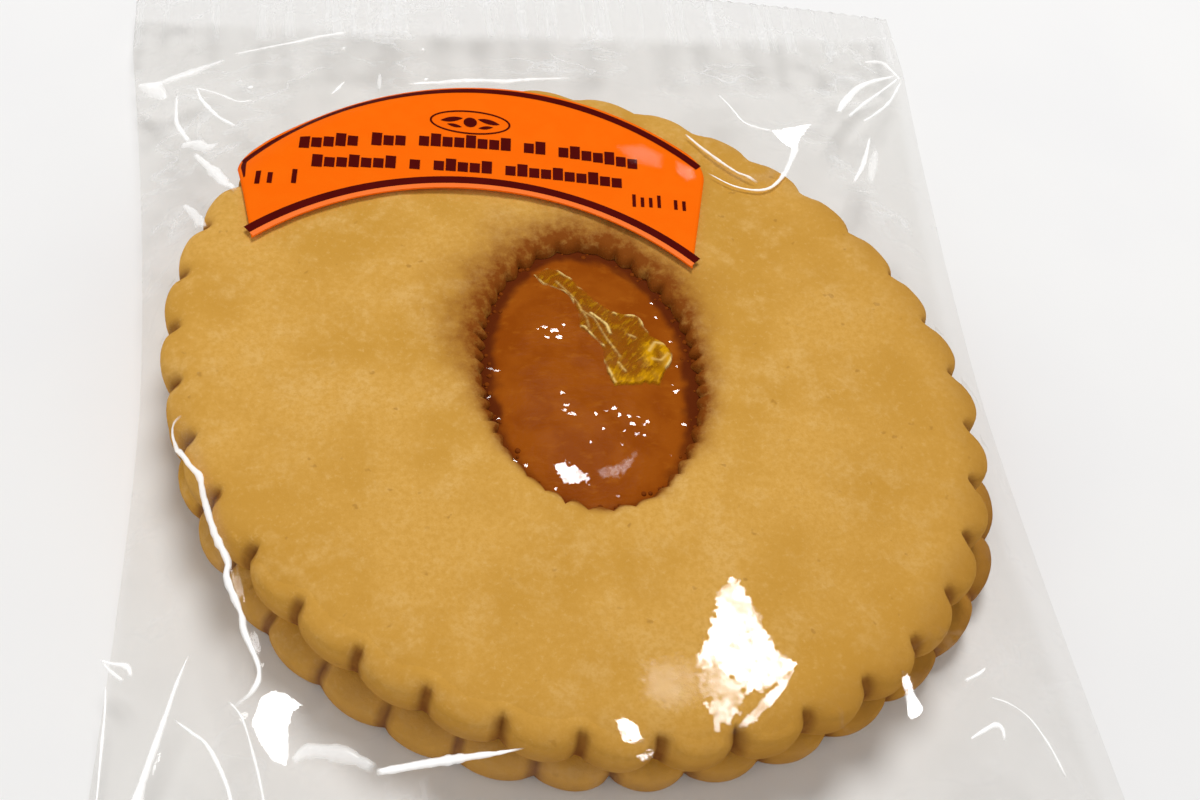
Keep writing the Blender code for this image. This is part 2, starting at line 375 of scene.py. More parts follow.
@dataclass(frozen=True)
class FilmFinish:
    """Clear glossy film: shows what is behind it, with haze on its seals, and whitish creases and streaks
    on the slack film that are partly haze and partly painted highlight.
    """

    name: str = "clear_film"
    tint: Triple = (0.966, 0.962, 0.954)
    # Whitish colour of the haze, and of the painted sheen and highlights on the slack film and creases.
    haze: Triple = (0.93, 0.93, 0.93)
    mirror: float = 0.020
    glance: float = 0.07
    streak_size: float = 10.0
    patch_size: float = 12.0
    milk_size: float = 4.5
    rib_size: float = 1.6

    def material(self) -> bpy.types.Material:
        """Build the material.

        Returns:
            The new material.
        """
        g = Graph(self.name)
        here = g.place()
        fine = g.noise(here, 3.0, 2.0, 0.55)
        normal = g.bump(fine, 0.07)
        crease = g.attribute(Attr.CREASE)
        seal = g.attribute(Attr.SEAL)
        clear = g.clear(self.tint)
        white = g.principled(Base_Color=self.haze, Roughness=0.5, Normal=normal)
        shine = g.principled(Base_Color=(1.0, 1.0, 1.0), Metallic=1.0, Roughness=0.07, Normal=normal)
        loose = 1.0 - g.attribute(Attr.CLING)
        field = g.noise(g.place((1.0, 1.6, 1.0)), self.streak_size, 3.0, 0.5)
        streak = field.ramp(0.462, 0.498) * field.ramp(0.538, 0.502)
        patches = g.noise(here, self.patch_size).ramp(0.42, 0.62)
        milky_sheen = g.noise(here, self.milk_size, 3.0, 0.6).ramp(0.50, 0.66)
        rib = g.noise(g.place((1.0, 0.06, 0.06)), self.rib_size, 2.0).ramp(0.45, 0.65)
        # Whitish haze on the seals' crimp, and streaks on the slack film and along the creases that are
        # partly painted sheen and highlight.
        slack = g.attribute(Attr.SLACK) * patches * (streak * 0.30 + milky_sheen * 0.20)
        haze = seal * (0.06 + rib * 0.30) + slack
        cloudy = (crease * 0.5 + haze + loose * 0.008).clamp()
        slant = g.node("ShaderNodeLayerWeight", {}, {"Blend": 0.5, "Normal": normal}, "Facing")
        glance = slant ** 4.0 * (0.2 + loose * 0.8) * self.glance
        mirror = (loose * self.mirror + glance).clamp()
        body = g.blend(cloudy, clear, white)
        return g.finish(g.blend(mirror, body, shine))


@dataclass(frozen=True)
class UnderFilmFinish:
    """The lower sheet, which lies on the table and under the biscuit: clear, with a little haze."""

    name: str = "clear_film_under"
    tint: Triple = (0.966, 0.962, 0.954)
    haze: Triple = (0.93, 0.93, 0.93)
    cloudy: float = 0.03

    def material(self) -> bpy.types.Material:
        """Build the material.

        Returns:
            The new material.
        """
        g = Graph(self.name)
        clear = g.clear(self.tint)
        white = g.principled(Base_Color=self.haze, Roughness=0.3)
        return g.finish(g.blend(self.cloudy, clear, white))


@dataclass(frozen=True)
class FoldHighlightFinish:
    """Sharp fold of the film, painted as a whitish highlight that glows a little: glossy and a little
    see-through at its ends.
    """

    name: str = "film_fold_highlight"
    # White of the painted highlight, and the glow that brightens it though it is no lamp.
    white: Triple = (0.97, 0.97, 0.965)
    painted_glow: float = 0.3

    def material(self) -> bpy.types.Material:
        """Build the material.

        Returns:
            The new material.
        """
        g = Graph(self.name)
        clear = g.clear()
        white = g.principled(
            Base_Color=self.white, Roughness=0.25, Emission_Color=self.white, Emission_Strength=self.painted_glow
        )
        return g.finish(g.blend(g.attribute(Attr.FADE), clear, white))


@dataclass(frozen=True)
class FacetFinish:
    """Flat facet of the film, slanted by its tilt attribute so that it mirrors the lamp."""

    name: str = "film_facet"
    mirror: float = 0.11

    def material(self) -> bpy.types.Material:
        """Build the material.

        Returns:
            The new material.
        """
        g = Graph(self.name)
        here = g.place()
        ripple_height = g.noise(here, 2.6, 2.0, 0.6) * 0.10 + g.noise(here, 0.9, 2.0) * 0.02
        normal = g.bump(g.attribute(Attr.TILT) + ripple_height, 1.0)
        clear = g.clear()
        shine = g.principled(Base_Color=(1.0, 1.0, 1.0), Metallic=1.0, Roughness=0.10, Normal=normal)
        uneven = 0.35 + g.noise(here, 3.2, 4.0, 0.65).ramp(0.36, 0.58) * 0.65
        share = g.attribute(Attr.FADE) * uneven * self.mirror
        return g.finish(g.blend(share, clear, shine))


@dataclass(frozen=True)
class PlainFinish:
    """One printed or painted colour with a faint mottle."""

    name: str
    colour: Triple
    shade: Triple
    roughness: float
    size: float = 3.0
    depth: float = 0.01
    sheen: float = 0.01

    def material(self) -> bpy.types.Material:
        """Build the material.

        Returns:
            The new material.
        """
        g = Graph(self.name)
        here = g.place()
        mottle = g.noise(here, self.size, 3.0)
        colour = g.mix(mottle.ramp(0.35, 0.7) * 0.6, self.colour, self.shade)
        fine = g.noise(here, self.size * 0.15, 2.0)
        rough = self.roughness + fine * 0.06
        normal = g.bump(fine, self.depth)
        shader = g.principled(
            Base_Color=colour, Roughness=rough, Specular_IOR_Level=self.sheen, Normal=normal
        )
        return g.finish(shader)


# Mesh helpers


def finish_piece(
    bm: bmesh.types.BMesh,
    name: str,
    material: bpy.types.Material,
    attributes: dict[Attr, Array] | None = None,
) -> bpy.types.Object:
    """Turn a bmesh in millimetres into a smooth piece that rides on the part.

    Args:
        bm: The mesh, freed here.
        name: The piece's name.
        material: Its material.
        attributes: Values for each vertex, in the order of the mesh.

    Returns:
        The new object.
    """
    bmesh.ops.scale(bm, vec=(MM, MM, MM), verts=bm.verts)
    mesh = bpy.data.meshes.new(name)
    bm.to_mesh(mesh)
    bm.free()
    mesh.shade_smooth()
    mesh.materials.append(material)
    for key, values in (attributes or {}).items():
        layer = mesh.attributes.new(key.value, "FLOAT", "POINT")
        layer.data.foreach_set("value", np.asarray(values, dtype=np.float32))
    piece = bpy.data.objects.new(name, mesh)
    bpy.context.scene.collection.objects.link(piece)
    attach(piece, BODY)
    LOG.info("%s: %d faces", name, len(mesh.polygons))
    return piece


def places_of(bm: bmesh.types.BMesh) -> Array:
    """All vertex places as rows of an array."""
    return np.array([vert.co[:] for vert in bm.verts])


def put_places(bm: bmesh.types.BMesh, places: Array) -> None:
    """Move every vertex to its row of an array."""
    for vert, place in zip(bm.verts, places):
        vert.co = place


def spots(x: Array, y: Array, height: float = 0.0) -> Array:
    """Places as rows of an array, all at one height."""
    return np.column_stack([x, y, np.full(x.shape, height)])


def turned(bm: bmesh.types.BMesh) -> tuple[Array, Array, Array]:
    """Angle, distance from the axis and height of every vertex."""
    flat = places_of(bm)
    return np.arctan2(flat[:, 1], flat[:, 0]), np.hypot(flat[:, 0], flat[:, 1]), flat[:, 2]


def spun(points: Line, steps: int, closed: bool) -> bmesh.types.BMesh:
    """Spin a cut, given as distances from the axis and heights, into a whole round.

    Args:
        points: The cut's corners in order.
        steps: How many steps the full turn has.
        closed: Whether the cut's last corner joins its first.

    Returns:
        The round, with its doubles merged and its faces outwards.
    """
    bm = bmesh.new()
    verts = [bm.verts.new((reach, 0.0, height)) for reach, height in points]
    pairs = zip(verts, verts[1:] + verts[:1]) if closed else zip(verts, verts[1:])
    edges = [bm.edges.new(pair) for pair in pairs]
    bmesh.ops.spin(
        bm,
        geom=verts + edges,
        cent=(0.0, 0.0, 0.0),
        axis=(0.0, 0.0, 1.0),
        angle=math.tau,
        steps=steps,
        use_merge=True,
    )
    if not closed:
        bmesh.ops.remove_doubles(bm, verts=bm.verts, dist=0.0001)
    bmesh.ops.recalc_face_normals(bm, faces=bm.faces)
    return bm


def ease(values: Array) -> Array:
    """Ease from 0 to 1."""
    share = np.clip(values, 0.0, 1.0)
    return share * share * (3.0 - 2.0 * share)


def ripple(places: Array, size: float, seed: float) -> Array:
    """Smooth noise of about -1 to 1 at each place, with blotches of size millimetres."""
    shift = Vector((seed, -seed * 0.7, seed * 1.3))
    return np.array([noise.noise(Vector(place) / size + shift) for place in places])


def ripples(places: Array, layers: Ripples) -> Array:
    """Sum of ripples, each given by its blotches' size, its height and its seed."""
    return sum(height * ripple(places, size, seed) for size, height, seed in layers)


def waves(angle: Array, sizes: Sequence[float]) -> Array:
    """Sum of a constant and of one and two waves a turn, each as its cosine and its sine."""
    shapes = (1.0, np.cos(angle), np.sin(angle), np.cos(2.0 * angle), np.sin(2.0 * angle))
    return sum(size * shape for size, shape in zip(sizes, shapes))


def line_distance(x: Array, y: Array, points: Line) -> tuple[Array, Array]:
    """Distance from each place to a chain of points, and how far along it the nearest one is.

    Args:
        x: Places along X, in millimetres.
        y: Places along Y, in millimetres.
        points: Corners of the chain, in order.

    Returns:
        The distances, and the shares of the way along the chain.
    """
    best = np.full(x.shape, np.inf)
    along = np.zeros(x.shape)
    lengths = [math.dist(a, b) for a, b in zip(points, points[1:])]
    total = sum(lengths)
    walked = 0.0
    for (ax, ay), (bx, by), length in zip(points, points[1:], lengths):
        share = np.clip(((x - ax) * (bx - ax) + (y - ay) * (by - ay)) / length ** 2, 0.0, 1.0)
        away = np.hypot(x - ax - share * (bx - ax), y - ay - share * (by - ay))
        nearer = away < best
        best = np.where(nearer, away, best)
        along = np.where(nearer, (walked + share * length) / total, along)
        walked += length
    return best, along


def inside(x: Array, y: Array, outline: Line) -> Array:
    """Which places lie inside a closed outline.

    Args:
        x: Places along X, in millimetres.
        y: Places along Y, in millimetres.
        outline: Corners of the outline, in order.

    Returns:
        True for each place inside.
    """
    result = np.zeros(x.shape, dtype=bool)
    for (ax, ay), (bx, by) in zip(outline, tuple(outline[1:]) + tuple(outline[:1])):
        if ay == by:
            continue
        crosses = (ay > y) != (by > y)
        result ^= crosses & (x < (bx - ax) * (y - ay) / (by - ay) + ax)
    return result


def smooth_line(points: Line, step: float) -> Array:
    """Points about one step apart on a smooth curve through a chain of points.

    Args:
        points: Corners of the chain, in order.
        step: Length of a step, in millimetres.

    Returns:
        The points as rows of an array.
    """
    knots = [Vector((*point, 0.0)) for point in points]
    knots = [knots[0] * 2.0 - knots[1], *knots, knots[-1] * 2.0 - knots[-2]]
    line = []
    for a, b, c, d in zip(knots, knots[1:], knots[2:], knots[3:]):
        count = max(2, math.ceil((c - b).length / step))
        for share in np.linspace(0.0, 1.0, count, endpoint=False):
            t = float(share)
            spot = b * 2.0 + (c - a) * t + (a * 2.0 - b * 5.0 + c * 4.0 - d) * t ** 2
            line.append((spot + (b * 3.0 - a - c * 3.0 + d) * t ** 3) / 2.0)
    line.append(knots[-2])
    return np.array([spot[:2] for spot in line])


def add_to(bm: bmesh.types.BMesh, part: bmesh.types.BMesh) -> None:
    """Join a part to a mesh and free it.

    Args:
        bm: Mesh that the part joins.
        part: Mesh to join, freed here.
    """
    made = bpy.data.meshes.new("part")
    part.to_mesh(made)
    part.free()
    bm.from_mesh(made)
    bpy.data.meshes.remove(made)


# Biscuit


@dataclass(frozen=True)
class Bulge:
    """Where an edge stands out: its direction and width in degrees, and its size in millimetres."""

    at: float
    width: float
    size: float


@dataclass
class Oval:
    """Fluted oval outline of the biscuits and the window cut in the top one."""

    long: float = 106.8
    short: float = 93.8
    turn: float = math.radians(136.0)
    centre: tuple[float, float] = (-0.9, 0.0)
    flutes: int = 36
    phase: float = math.radians(2.2)
    window_long: float = 39.5
    window_short: float = 27.0
    window_shift: tuple[float, float] = (1.2, 0.0)
    drift: tuple[float, ...] = (0.16, -1.1, 0.65, -0.61, -0.20)
    bulges: tuple[Bulge, ...] = ()

    @property
    def skew(self) -> float:
        """How much the oval differs from a circle."""
        return (self.long - self.short) / (self.long + self.short)

    def rim(self, angle: Array) -> Array:
        """Distance from the centre to the tips of the flutes.

        Args:
            angle: Directions from the biscuit's centre, in radians.

        Returns:
            The distances, in millimetres.
        """
        u = np.cos(angle - self.turn) / (self.long / 2.0)
        v = np.sin(angle - self.turn) / (self.short / 2.0)
        return 1.0 / np.hypot(u, v) + self.swell(angle)

    def swell(self, angle: Array) -> Array:
        """How far the bulges stand out from the plain oval.

        Args:
            angle: Directions from the biscuit's centre, in radians.

        Returns:
            The extra distances, in millimetres.
        """
        total = np.zeros(np.shape(angle))
        for bulge in self.bulges:
            away = (angle - math.radians(bulge.at) + math.pi) % math.tau - math.pi
            total = total + bulge.size * np.exp(-((away / math.radians(bulge.width)) ** 2))
        return total

    def even(self, angle: Array) -> Array:
        """Turn along the edge, on which the flutes are evenly spaced.

        Args:
            angle: Directions from the biscuit's centre, in radians.

        Returns:
            The turns, in radians.
        """
        turn = angle - self.phase
        even = turn + self.skew / 2.0 * np.sin(2.0 * (turn - self.turn))
        return even - np.radians(waves(angle, self.drift))

    def notch(self, angle: Array, shift: float = 0.0, sharp: float = 0.8) -> Array:
        """0 on a flute and 1 in the notch between two."""
        wave = np.abs(np.sin(self.flutes * (self.even(angle) - shift) / 2.0))
        return 1.0 - wave ** sharp

    def window(self, angle: Array) -> Array:
        """Distance from the centre to the window's plain edge.

        Args:
            angle: Directions from the biscuit's centre, in radians.

        Returns:
            The distances, in millimetres.
        """
        half_short = self.window_short / 2.0
        half_long = self.window_long / 2.0
        ux = np.cos(angle) / half_short
        uy = np.sin(angle) / half_long
        cx = self.window_shift[0] / half_short
        cy = self.window_shift[1] / half_long
        a = ux * ux + uy * uy
        b = ux * cx + uy * cy
        return (b + np.sqrt(b * b - a * (cx * cx + cy * cy - 1.0))) / a

    def polar(self, x: Array, y: Array) -> tuple[Array, Array]:
        """Angle and distance from the centre.

        Args:
            x: Places along X, in millimetres.
            y: Places along Y, in millimetres.

        Returns:
            The angles and the distances.
        """
        dx = x - self.centre[0]
        dy = y - self.centre[1]
        return np.arctan2(dy, dx), np.hypot(dx, dy)


@dataclass
class BiscuitRound:
    """One fluted biscuit, spun as a plain ring and then drawn out to its oval, fluted outline."""

    name: str
    oval: Oval
    low: float
    high: float
    shift: tuple[float, float] = (0.0, 0.0)
    flute_turn: float = 0.0
    depths: tuple[float, ...] = (1.75, 0.45, -0.95, 0.45, -0.25)
    shallow: float = 1.2
    sharp: float = 0.55
    groove: float = 2.3
    side_gap: float = 0.4
    windowed: bool = True
    hub: float = 0.4
    teeth: int = 46
    tooth_depth: float = 1.0
    tooth_reach: float = 0.035
    shoulder: float = 2.0
    shoulder_start: float = 0.89
    far_side: float = math.radians(10.0)
    # Direction in which the painted shade on the top and rim is darkest.
    front_side: float = math.radians(-30.0)
    slit: float = 0.15
    lip_drop: float = 0.45
    lip_reach: float = 1.3 / 33.0
    lumps: Pairs = ((9.0, 0.13), (2.6, 0.06), (1.1, 0.035))
    # Strengths of the painted shade, partly browning, in the notches, of the painted shade round the
    # bulges, and of the browning down the sides and at the foot.
    notch_shade: float = 0.95
    side_toast: float = 0.22
    bulge_shade: float = 0.10
    foot_toast: float = 0.6
    soak_near: float = 0.5
    soak_sides: float = 1.2
    soak_far: float = 3.0
    soak_blotch: float = 1.1
    # Strengths of the painted shade on the top and rim towards front_side, and of the browning down the
    # walls.
    top_shade: float = 0.18
    rim_shade: float = 0.75
    side_bake: float = 0.25
    seed: float = 3.0
    steps: int = 468

    def profile(self) -> list[tuple[float, float]]:
        """Outline of a cut through the ring: share from window to rim, and share of the height.

        Returns:
            The cut's corners in order.
        """
        lip = [(0.026, 0.985), (0.038, 0.995), (0.052, 1.0), (0.066, 1.0), (0.082, 1.0)]
        top = lip + [(share, 1.0) for share in (*np.linspace(0.10, 0.92, 37), 0.935, 0.95, 0.962, 0.974)]
        edge = [(0.985, 1.0), (1.0, 0.955), (1.004, 0.88), (1.006, 0.75), (1.006, 0.5)]
        under = [(1.002, 0.26), (0.993, 0.09), (0.975, 0.0), (0.8, 0.0), (0.4, 0.0), (0.04, 0.0)]
        wall = [(0.0, 0.08), (-0.004, 0.3), (-0.004, 0.6), (0.0, 0.84), (0.014, 0.95)]
        return top + edge + under + wall

    def bite(self, angle: Array, share: Array) -> Array:
        """How far the cutter's teeth move the window's edge.

        Args:
            angle: Directions from the biscuit's centre, in radians.
            share: Distances from the window, 0, to the rim, 1.

        Returns:
            The distances, outwards, in millimetres.
        """
        wobble = 1.0 + 0.45 * np.sin(7.0 * angle + 1.0) + 0.3 * np.sin(17.0 * angle)
        drift = 0.35 * np.sin(5.0 * angle) + 0.2 * np.sin(8.0 * angle + 2.0)
        tooth = np.abs(np.sin(self.teeth * angle / 2.0 + drift)) ** 0.8
        near = np.exp(-((np.clip(share, 0.0, 1.0) / self.tooth_reach) ** 2))
        return self.tooth_depth * wobble * (0.4 - tooth * 0.8) * near

    def build(self, material: bpy.types.Material) -> bpy.types.Object:
        """Draw the ring out to the biscuit and dress it.

        Args:
            material: The piece's material.

        Returns:
            The finished piece.
        """
        bm = spun([(1.0 + share, height) for share, height in self.profile()], self.steps, True)
        angle, share, up = turned(bm)
        share = share - 1.0
        inner = self.oval.window(angle) if self.windowed else np.full(angle.shape, self.hub)
        bite = self.bite(angle, share) if self.windowed else 0.0
        drawn = ease((np.clip(share, 0.0, 1.0) - self.shoulder_start) / (1.0 - self.shoulder_start))
        notch = self.oval.notch(angle, self.flute_turn, self.sharp)
        uneven = 1.0 + 0.14 * np.sin(5.0 * angle + self.seed) + 0.10 * np.sin(11.0 * angle)
        depth = np.maximum(waves(angle, self.depths), self.shallow) * uneven
        depth = depth * (1.0 - 0.12 * self.oval.swell(angle))
        rim = self.oval.rim(angle) - self.side_gap - depth * notch * drawn
        radius = inner + (rim - inner) * share + bite
        x = self.oval.centre[0] + self.shift[0] + radius * np.cos(angle)
        y = self.oval.centre[1] + self.shift[1] + radius * np.sin(angle)
        inward = radius / self.oval.rim(angle)
        slope = np.clip((inward - self.shoulder_start) / (1.0 - self.shoulder_start), 0.0, 1.3)
        drop = self.shoulder * slope ** 2.4 + self.groove * notch ** 1.4 * drawn ** 3
        spot = np.column_stack([x, y, up * 3.0])
        swell = ripples(spot, [(size, height, self.seed) for size, height in self.lumps])
        lip = np.exp(-((share / self.lip_reach) ** 2)) if self.windowed else 0.0
        high = self.high - drop - self.slit + swell - self.lip_drop * lip
        z = self.low + (high - self.low) * up
        put_places(bm, np.column_stack([x, y, z]))
        attributes = self.tints(angle, radius, up, notch, drawn, spot)
        return finish_piece(bm, self.name, material, attributes)

    def tints(
        self,
        angle: Array,
        radius: Array,
        up: Array,
        notch: Array,
        drawn: Array,
        spot: Array,
    ) -> dict[Attr, Array]:
        """Where painted shade darkens the biscuit, where it is browned, and where the jam has soaked in.

        Args:
            angle: Directions from the biscuit's centre, in radians.
            radius: Distances from the biscuit's centre.
            up: Shares of the biscuit's height.
            notch: 0 on a flute and 1 in a notch.
            drawn: How much the fluting shapes each place, 0 to 1.
            spot: Places that the ripples read.

        Returns:
            Values for each vertex, by attribute.
        """
        # Painted shade, partly browning, in the notches, painted shade round the bulges, and browning down
        # the sides and at the foot.
        side = ease((0.9 - up) / 0.5)
        wedge = ease((notch - 0.32) / 0.45) * ease((drawn - 0.62) / 0.34)
        shade_and_browning = np.clip(self.notch_shade * wedge + self.side_toast * side * drawn, 0.0, 1.0)
        shade_and_browning = np.maximum(shade_and_browning, self.bulge_shade * drawn * self.oval.swell(angle))
        shade_and_browning = np.maximum(shade_and_browning, self.foot_toast * ease((0.12 - up) / 0.12))
        soak = np.zeros(angle.shape)
        if self.windowed:
            far = ease((np.sin(angle - self.far_side) + 0.1) / 0.9)
            sides = ease((0.9 + np.sin(angle)) / 0.6)
            reach = self.soak_near + self.soak_sides * sides + self.soak_far * far
            reach = np.maximum(reach + self.soak_blotch * ripple(spot, 4.0, 8.0), 0.4)
            away = np.clip(radius - self.oval.window(angle), 0.0, None)
            soak = np.clip(1.15 * np.exp(-((away / reach) ** 1.4)), 0.0, 1.0)
        # Painted shade, darker towards front_side on the top and rim, and browning down the walls.
        front = 0.5 + 0.5 * np.cos(angle - self.front_side)
        outer = radius / self.oval.rim(angle)
        shade_and_bake = self.top_shade * front * ease((outer - 0.35) / 0.55)
        shade_and_bake += self.rim_shade * front ** 2 * ease((outer - 0.86) / 0.14)
        shade_and_bake = np.clip(shade_and_bake + self.side_bake * ease((0.95 - up) / 0.4), 0.0, 0.9)
        return {Attr.SHADE_AND_BROWNING: shade_and_browning, Attr.SOAK: soak, Attr.SHADE_AND_BAKE: shade_and_bake}


@dataclass
class Jam:
    """Jam that fills the window as a low dome."""

    oval: Oval
    floor: float = 6.9
    level: float = 12.3
    dome: float = 1.15
    flatness: float = 3.2
    lumps: Ripples = ((5.5, 0.16, 2.0), (2.1, 0.07, 6.0))
    overlap: float = 0.5
    edge_blotches: Ripples = ((2.6, 0.8, 4.0), (1.1, 0.5, 7.0))
    rings: int = 46
    steps: int = 180

    def height(self, x: Array, y: Array) -> Array:
        """Height of the jam's surface.

        Args:
            x: Places along X, in millimetres.
            y: Places along Y, in millimetres.

        Returns:
            The heights, in millimetres.
        """
        angle, radius = self.oval.polar(x, y)
        share = np.clip(radius / self.oval.window(angle), 0.0, 1.3)
        uneven = ripples(spots(x, y), self.lumps) * (1.0 - share ** 4)
        return self.level + self.dome * (1.0 - share ** self.flatness) + uneven

    def build(self, material: bpy.types.Material) -> bpy.types.Object:
        """Spin a plain disc and draw it out to the window.

        Args:
            material: The piece's material.

        Returns:
            The finished piece.
        """
        top = [(share, 1.0) for share in (0.0, *np.linspace(0.02, 1.0, self.rings))]
        bm = spun(top + [(1.0, 0.0), (0.5, 0.0), (0.0, 0.0)], self.steps, False)
        angle, share, up = turned(bm)
        radius = share * (self.oval.window(angle) + self.overlap)
        x = self.oval.centre[0] + radius * np.cos(angle)
        y = self.oval.centre[1] + radius * np.sin(angle)
        z = np.where(up > 0.5, self.height(x, y), self.floor)
        put_places(bm, np.column_stack([x, y, z]))
        # Darker towards the window's edge, more on the far and side edges.
        sides = ease((0.95 + np.sin(angle)) / 0.5)
        near = self.oval.window(angle) - radius
        near += ripples(spots(x, y), self.edge_blotches)
        soak = (0.45 + 0.5 * sides) * ease((1.0 + 1.4 * sides - near) / 1.3)
        return finish_piece(bm, "jam_filling", material, {Attr.SOAK: soak})


@dataclass
class JamLayer:
    """Thin dark layer of jam that shows between the two biscuits."""

    oval: Oval
    low: float = 6.75
    high: float = 7.75
    inset: float = 3.1
    notching: float = 1.2
    shift: tuple[float, float] = (-0.5, -0.4)
    segments: int = 216

    def build(self, material: bpy.types.Material) -> bpy.types.Object:
        """Draw a low disc out to just inside the biscuits' edges.

        Args:
            material: The piece's material.

        Returns:
            The finished piece.
        """
        bm = bmesh.new()
        bmesh.ops.create_circle(bm, cap_ends=True, radius=1.0, segments=self.segments)
        bmesh.ops.translate(bm, vec=(0.0, 0.0, self.low), verts=bm.verts)
        lift = (0.0, 0.0, self.high - self.low)
        grown = bmesh.ops.extrude_face_region(bm, geom=bm.faces[:])
        top = [part for part in grown["geom"] if isinstance(part, bmesh.types.BMVert)]
        bmesh.ops.translate(bm, vec=lift, verts=top)
        bmesh.ops.recalc_face_normals(bm, faces=bm.faces)
        angle, _, up = turned(bm)
        radius = self.oval.rim(angle) - self.inset - self.notching * self.oval.notch(angle)
        radius += 0.5 * np.sin(9.0 * angle) + 0.3 * np.sin(23.0 * angle + 1.0)
        x = self.oval.centre[0] + self.shift[0] + radius * np.cos(angle)
        y = self.oval.centre[1] + self.shift[1] + radius * np.sin(angle)
        put_places(bm, np.column_stack([x, y, up]))
        return finish_piece(bm, "jam_layer", material, {Attr.SOAK: np.full(angle.shape, 0.7)})


@dataclass
class PeelStrip:
    """Strip of peel on the jam: a clear skin with fine raised veins and a thick yellow end."""

    jam: Jam
    left: Line = (
        (-5.4, 15.4), (-4.3, 13.8), (-1.9, 12.3), (-0.9, 10.3), (-0.4, 8.2), (-0.4, 6.1), (1.1, 4.7),
        (1.8, 3.2), (2.1, 0.8), (2.3, -0.9), (2.9, -2.8),
    )
    right: Line = (
        (-3.4, 16.7), (-2.0, 16.1), (-0.6, 14.7), (0.7, 12.7), (2.0, 10.8), (4.6, 8.9), (7.3, 8.3),
        (8.2, 5.9), (10.5, 3.9), (10.9, 2.0), (8.6, -2.4),
    )
    veins: tuple[tuple[float, Line], ...] = (
        (
            1.0,
            (
                (-5.4, 15.4), (-4.3, 13.8), (-3.1, 13.0), (-1.9, 12.3), (-0.9, 10.8), (-1.0, 9.2),
                (-0.4, 8.2),
            ),
        ),
        (0.5, ((-5.4, 15.4), (-4.7, 16.2), (-3.4, 16.7), (-2.4, 16.5))),
        (0.7, ((-2.3, 16.3), (-1.6, 15.2), (-0.6, 14.5))),
        (0.5, ((0.1, 13.0), (0.9, 12.5))),
        (0.9, ((1.2, 8.6), (2.3, 7.6), (3.0, 6.8), (3.3, 5.5))),
        (0.7, ((-1.0, 6.6), (0.2, 6.4), (1.3, 4.5), (2.2, 3.4))),
        (0.6, ((0.7, 2.3), (1.8, 1.6), (2.3, 0.1), (3.0, -2.2))),
        (0.8, ((5.8, 8.4), (7.3, 8.3), (7.7, 6.8), (8.2, 5.9))),
        (0.7, ((2.0, 11.0), (2.4, 10.4))),
        (0.6, ((4.1, 8.7), (4.4, 8.5))),
        (0.5, ((3.8, 0.8), (4.5, -0.5))),
        (0.4, ((5.6, 5.2), (6.4, 4.8))),
        (0.9, ((11.0, 2.7), (10.5, 1.3), (9.8, 0.2))),
        (0.45, ((7.9, 2.6), (8.8, 4.1), (10.0, 3.9))),
        (0.35, ((10.3, 2.3), (9.3, 1.3), (8.1, 1.4))),
        (0.3, ((-2.6, 14.1), (-0.6, 10.8), (0.6, 7.9), (0.8, 4.7))),
        (0.35, ((-0.1, 9.2), (1.5, 7.9), (2.8, 4.5), (4.1, 1.8))),
    )
    thick: Line = (
        (2.2, -0.4), (3.3, -2.0), (5.7, -2.2), (8.1, -1.3), (9.6, 0.2), (10.4, 2.0), (9.5, 4.1),
        (7.9, 3.4), (7.8, 1.3),
    )
    length: float = 20.0
    waviness: float = 0.22
    vein_width: float = 0.17
    thick_width: float = 1.05
    skin: float = 0.14
    vein_lift: float = 0.20
    thick_lift: float = 0.26
    wave_lift: float = 0.09
    across: int = 60
    along: int = 130

    def build(self, material: bpy.types.Material) -> bpy.types.Object:
        """Lay a fine grid between the strip's two edges and raise its veins.

        Args:
            material: The piece's material.

        Returns:
            The finished piece.
        """
        bm = bmesh.new()
        bmesh.ops.create_grid(bm, x_segments=self.across, y_segments=self.along, size=1.0)
        flat = places_of(bm)
        u = flat[:, 0] / 2.0 + 0.5
        v = flat[:, 1] / 2.0 + 0.5
        lx, ly = self.edge(self.left, v)
        rx, ry = self.edge(self.right, v)
        x = lx + (rx - lx) * u
        y = ly + (ry - ly) * u
        spot = spots(x, y)
        wobble = ripple(spot, 1.6, 9.0)
        x = x + self.waviness * wobble
        y = y + self.waviness * ripple(spot, 1.2, 15.0)
        edge = np.minimum(u, 1.0 - u) * np.hypot(rx - lx, ry - ly)
        edge = np.minimum(edge, np.minimum(v, 1.0 - v) * self.length)
        edge = edge + 0.3 * ripple(spot, 0.8, 27.0)
        vein = np.zeros(x.shape)
        for strength, points in self.veins:
            away, _ = line_distance(x, y, points)
            vein = np.maximum(vein, strength * np.exp(-((away / self.vein_width) ** 2)))
        away, _ = line_distance(x, y, self.thick)
        thick = np.exp(-((away / self.thick_width) ** 2)) * (0.8 + 0.4 * wobble)
        lift = self.skin + self.vein_lift * vein + self.thick_lift * thick + self.wave_lift * wobble
        lift = lift * ease(edge / 0.5 + 0.15)
        z = self.jam.height(x, y) + np.maximum(lift, 0.03)
        put_places(bm, np.column_stack([x, y, z]))
        bmesh.ops.recalc_face_normals(bm, faces=bm.faces)
        attributes = {
            Attr.RIND: vein,
            Attr.SOAK: np.clip(thick, 0.0, 1.0),
            Attr.FADE: ease(edge / 0.6 + 0.1),
        }
        return finish_piece(bm, "peel_strip", material, attributes)

    @staticmethod
    def edge(points: Line, along: Array) -> tuple[Array, Array]:
        """Places on a smooth curve through an edge's points, for 0 to 1 along it.

        Args:
            points: Corners of the chain, in order.
            along: Shares of the way along it, 0 to 1.

        Returns:
            The places along X and along Y.
        """
        line = smooth_line(points, 0.3)
        knots = np.linspace(0.0, 1.0, len(line))
        return np.interp(along, knots, line[:, 0]), np.interp(along, knots, line[:, 1])


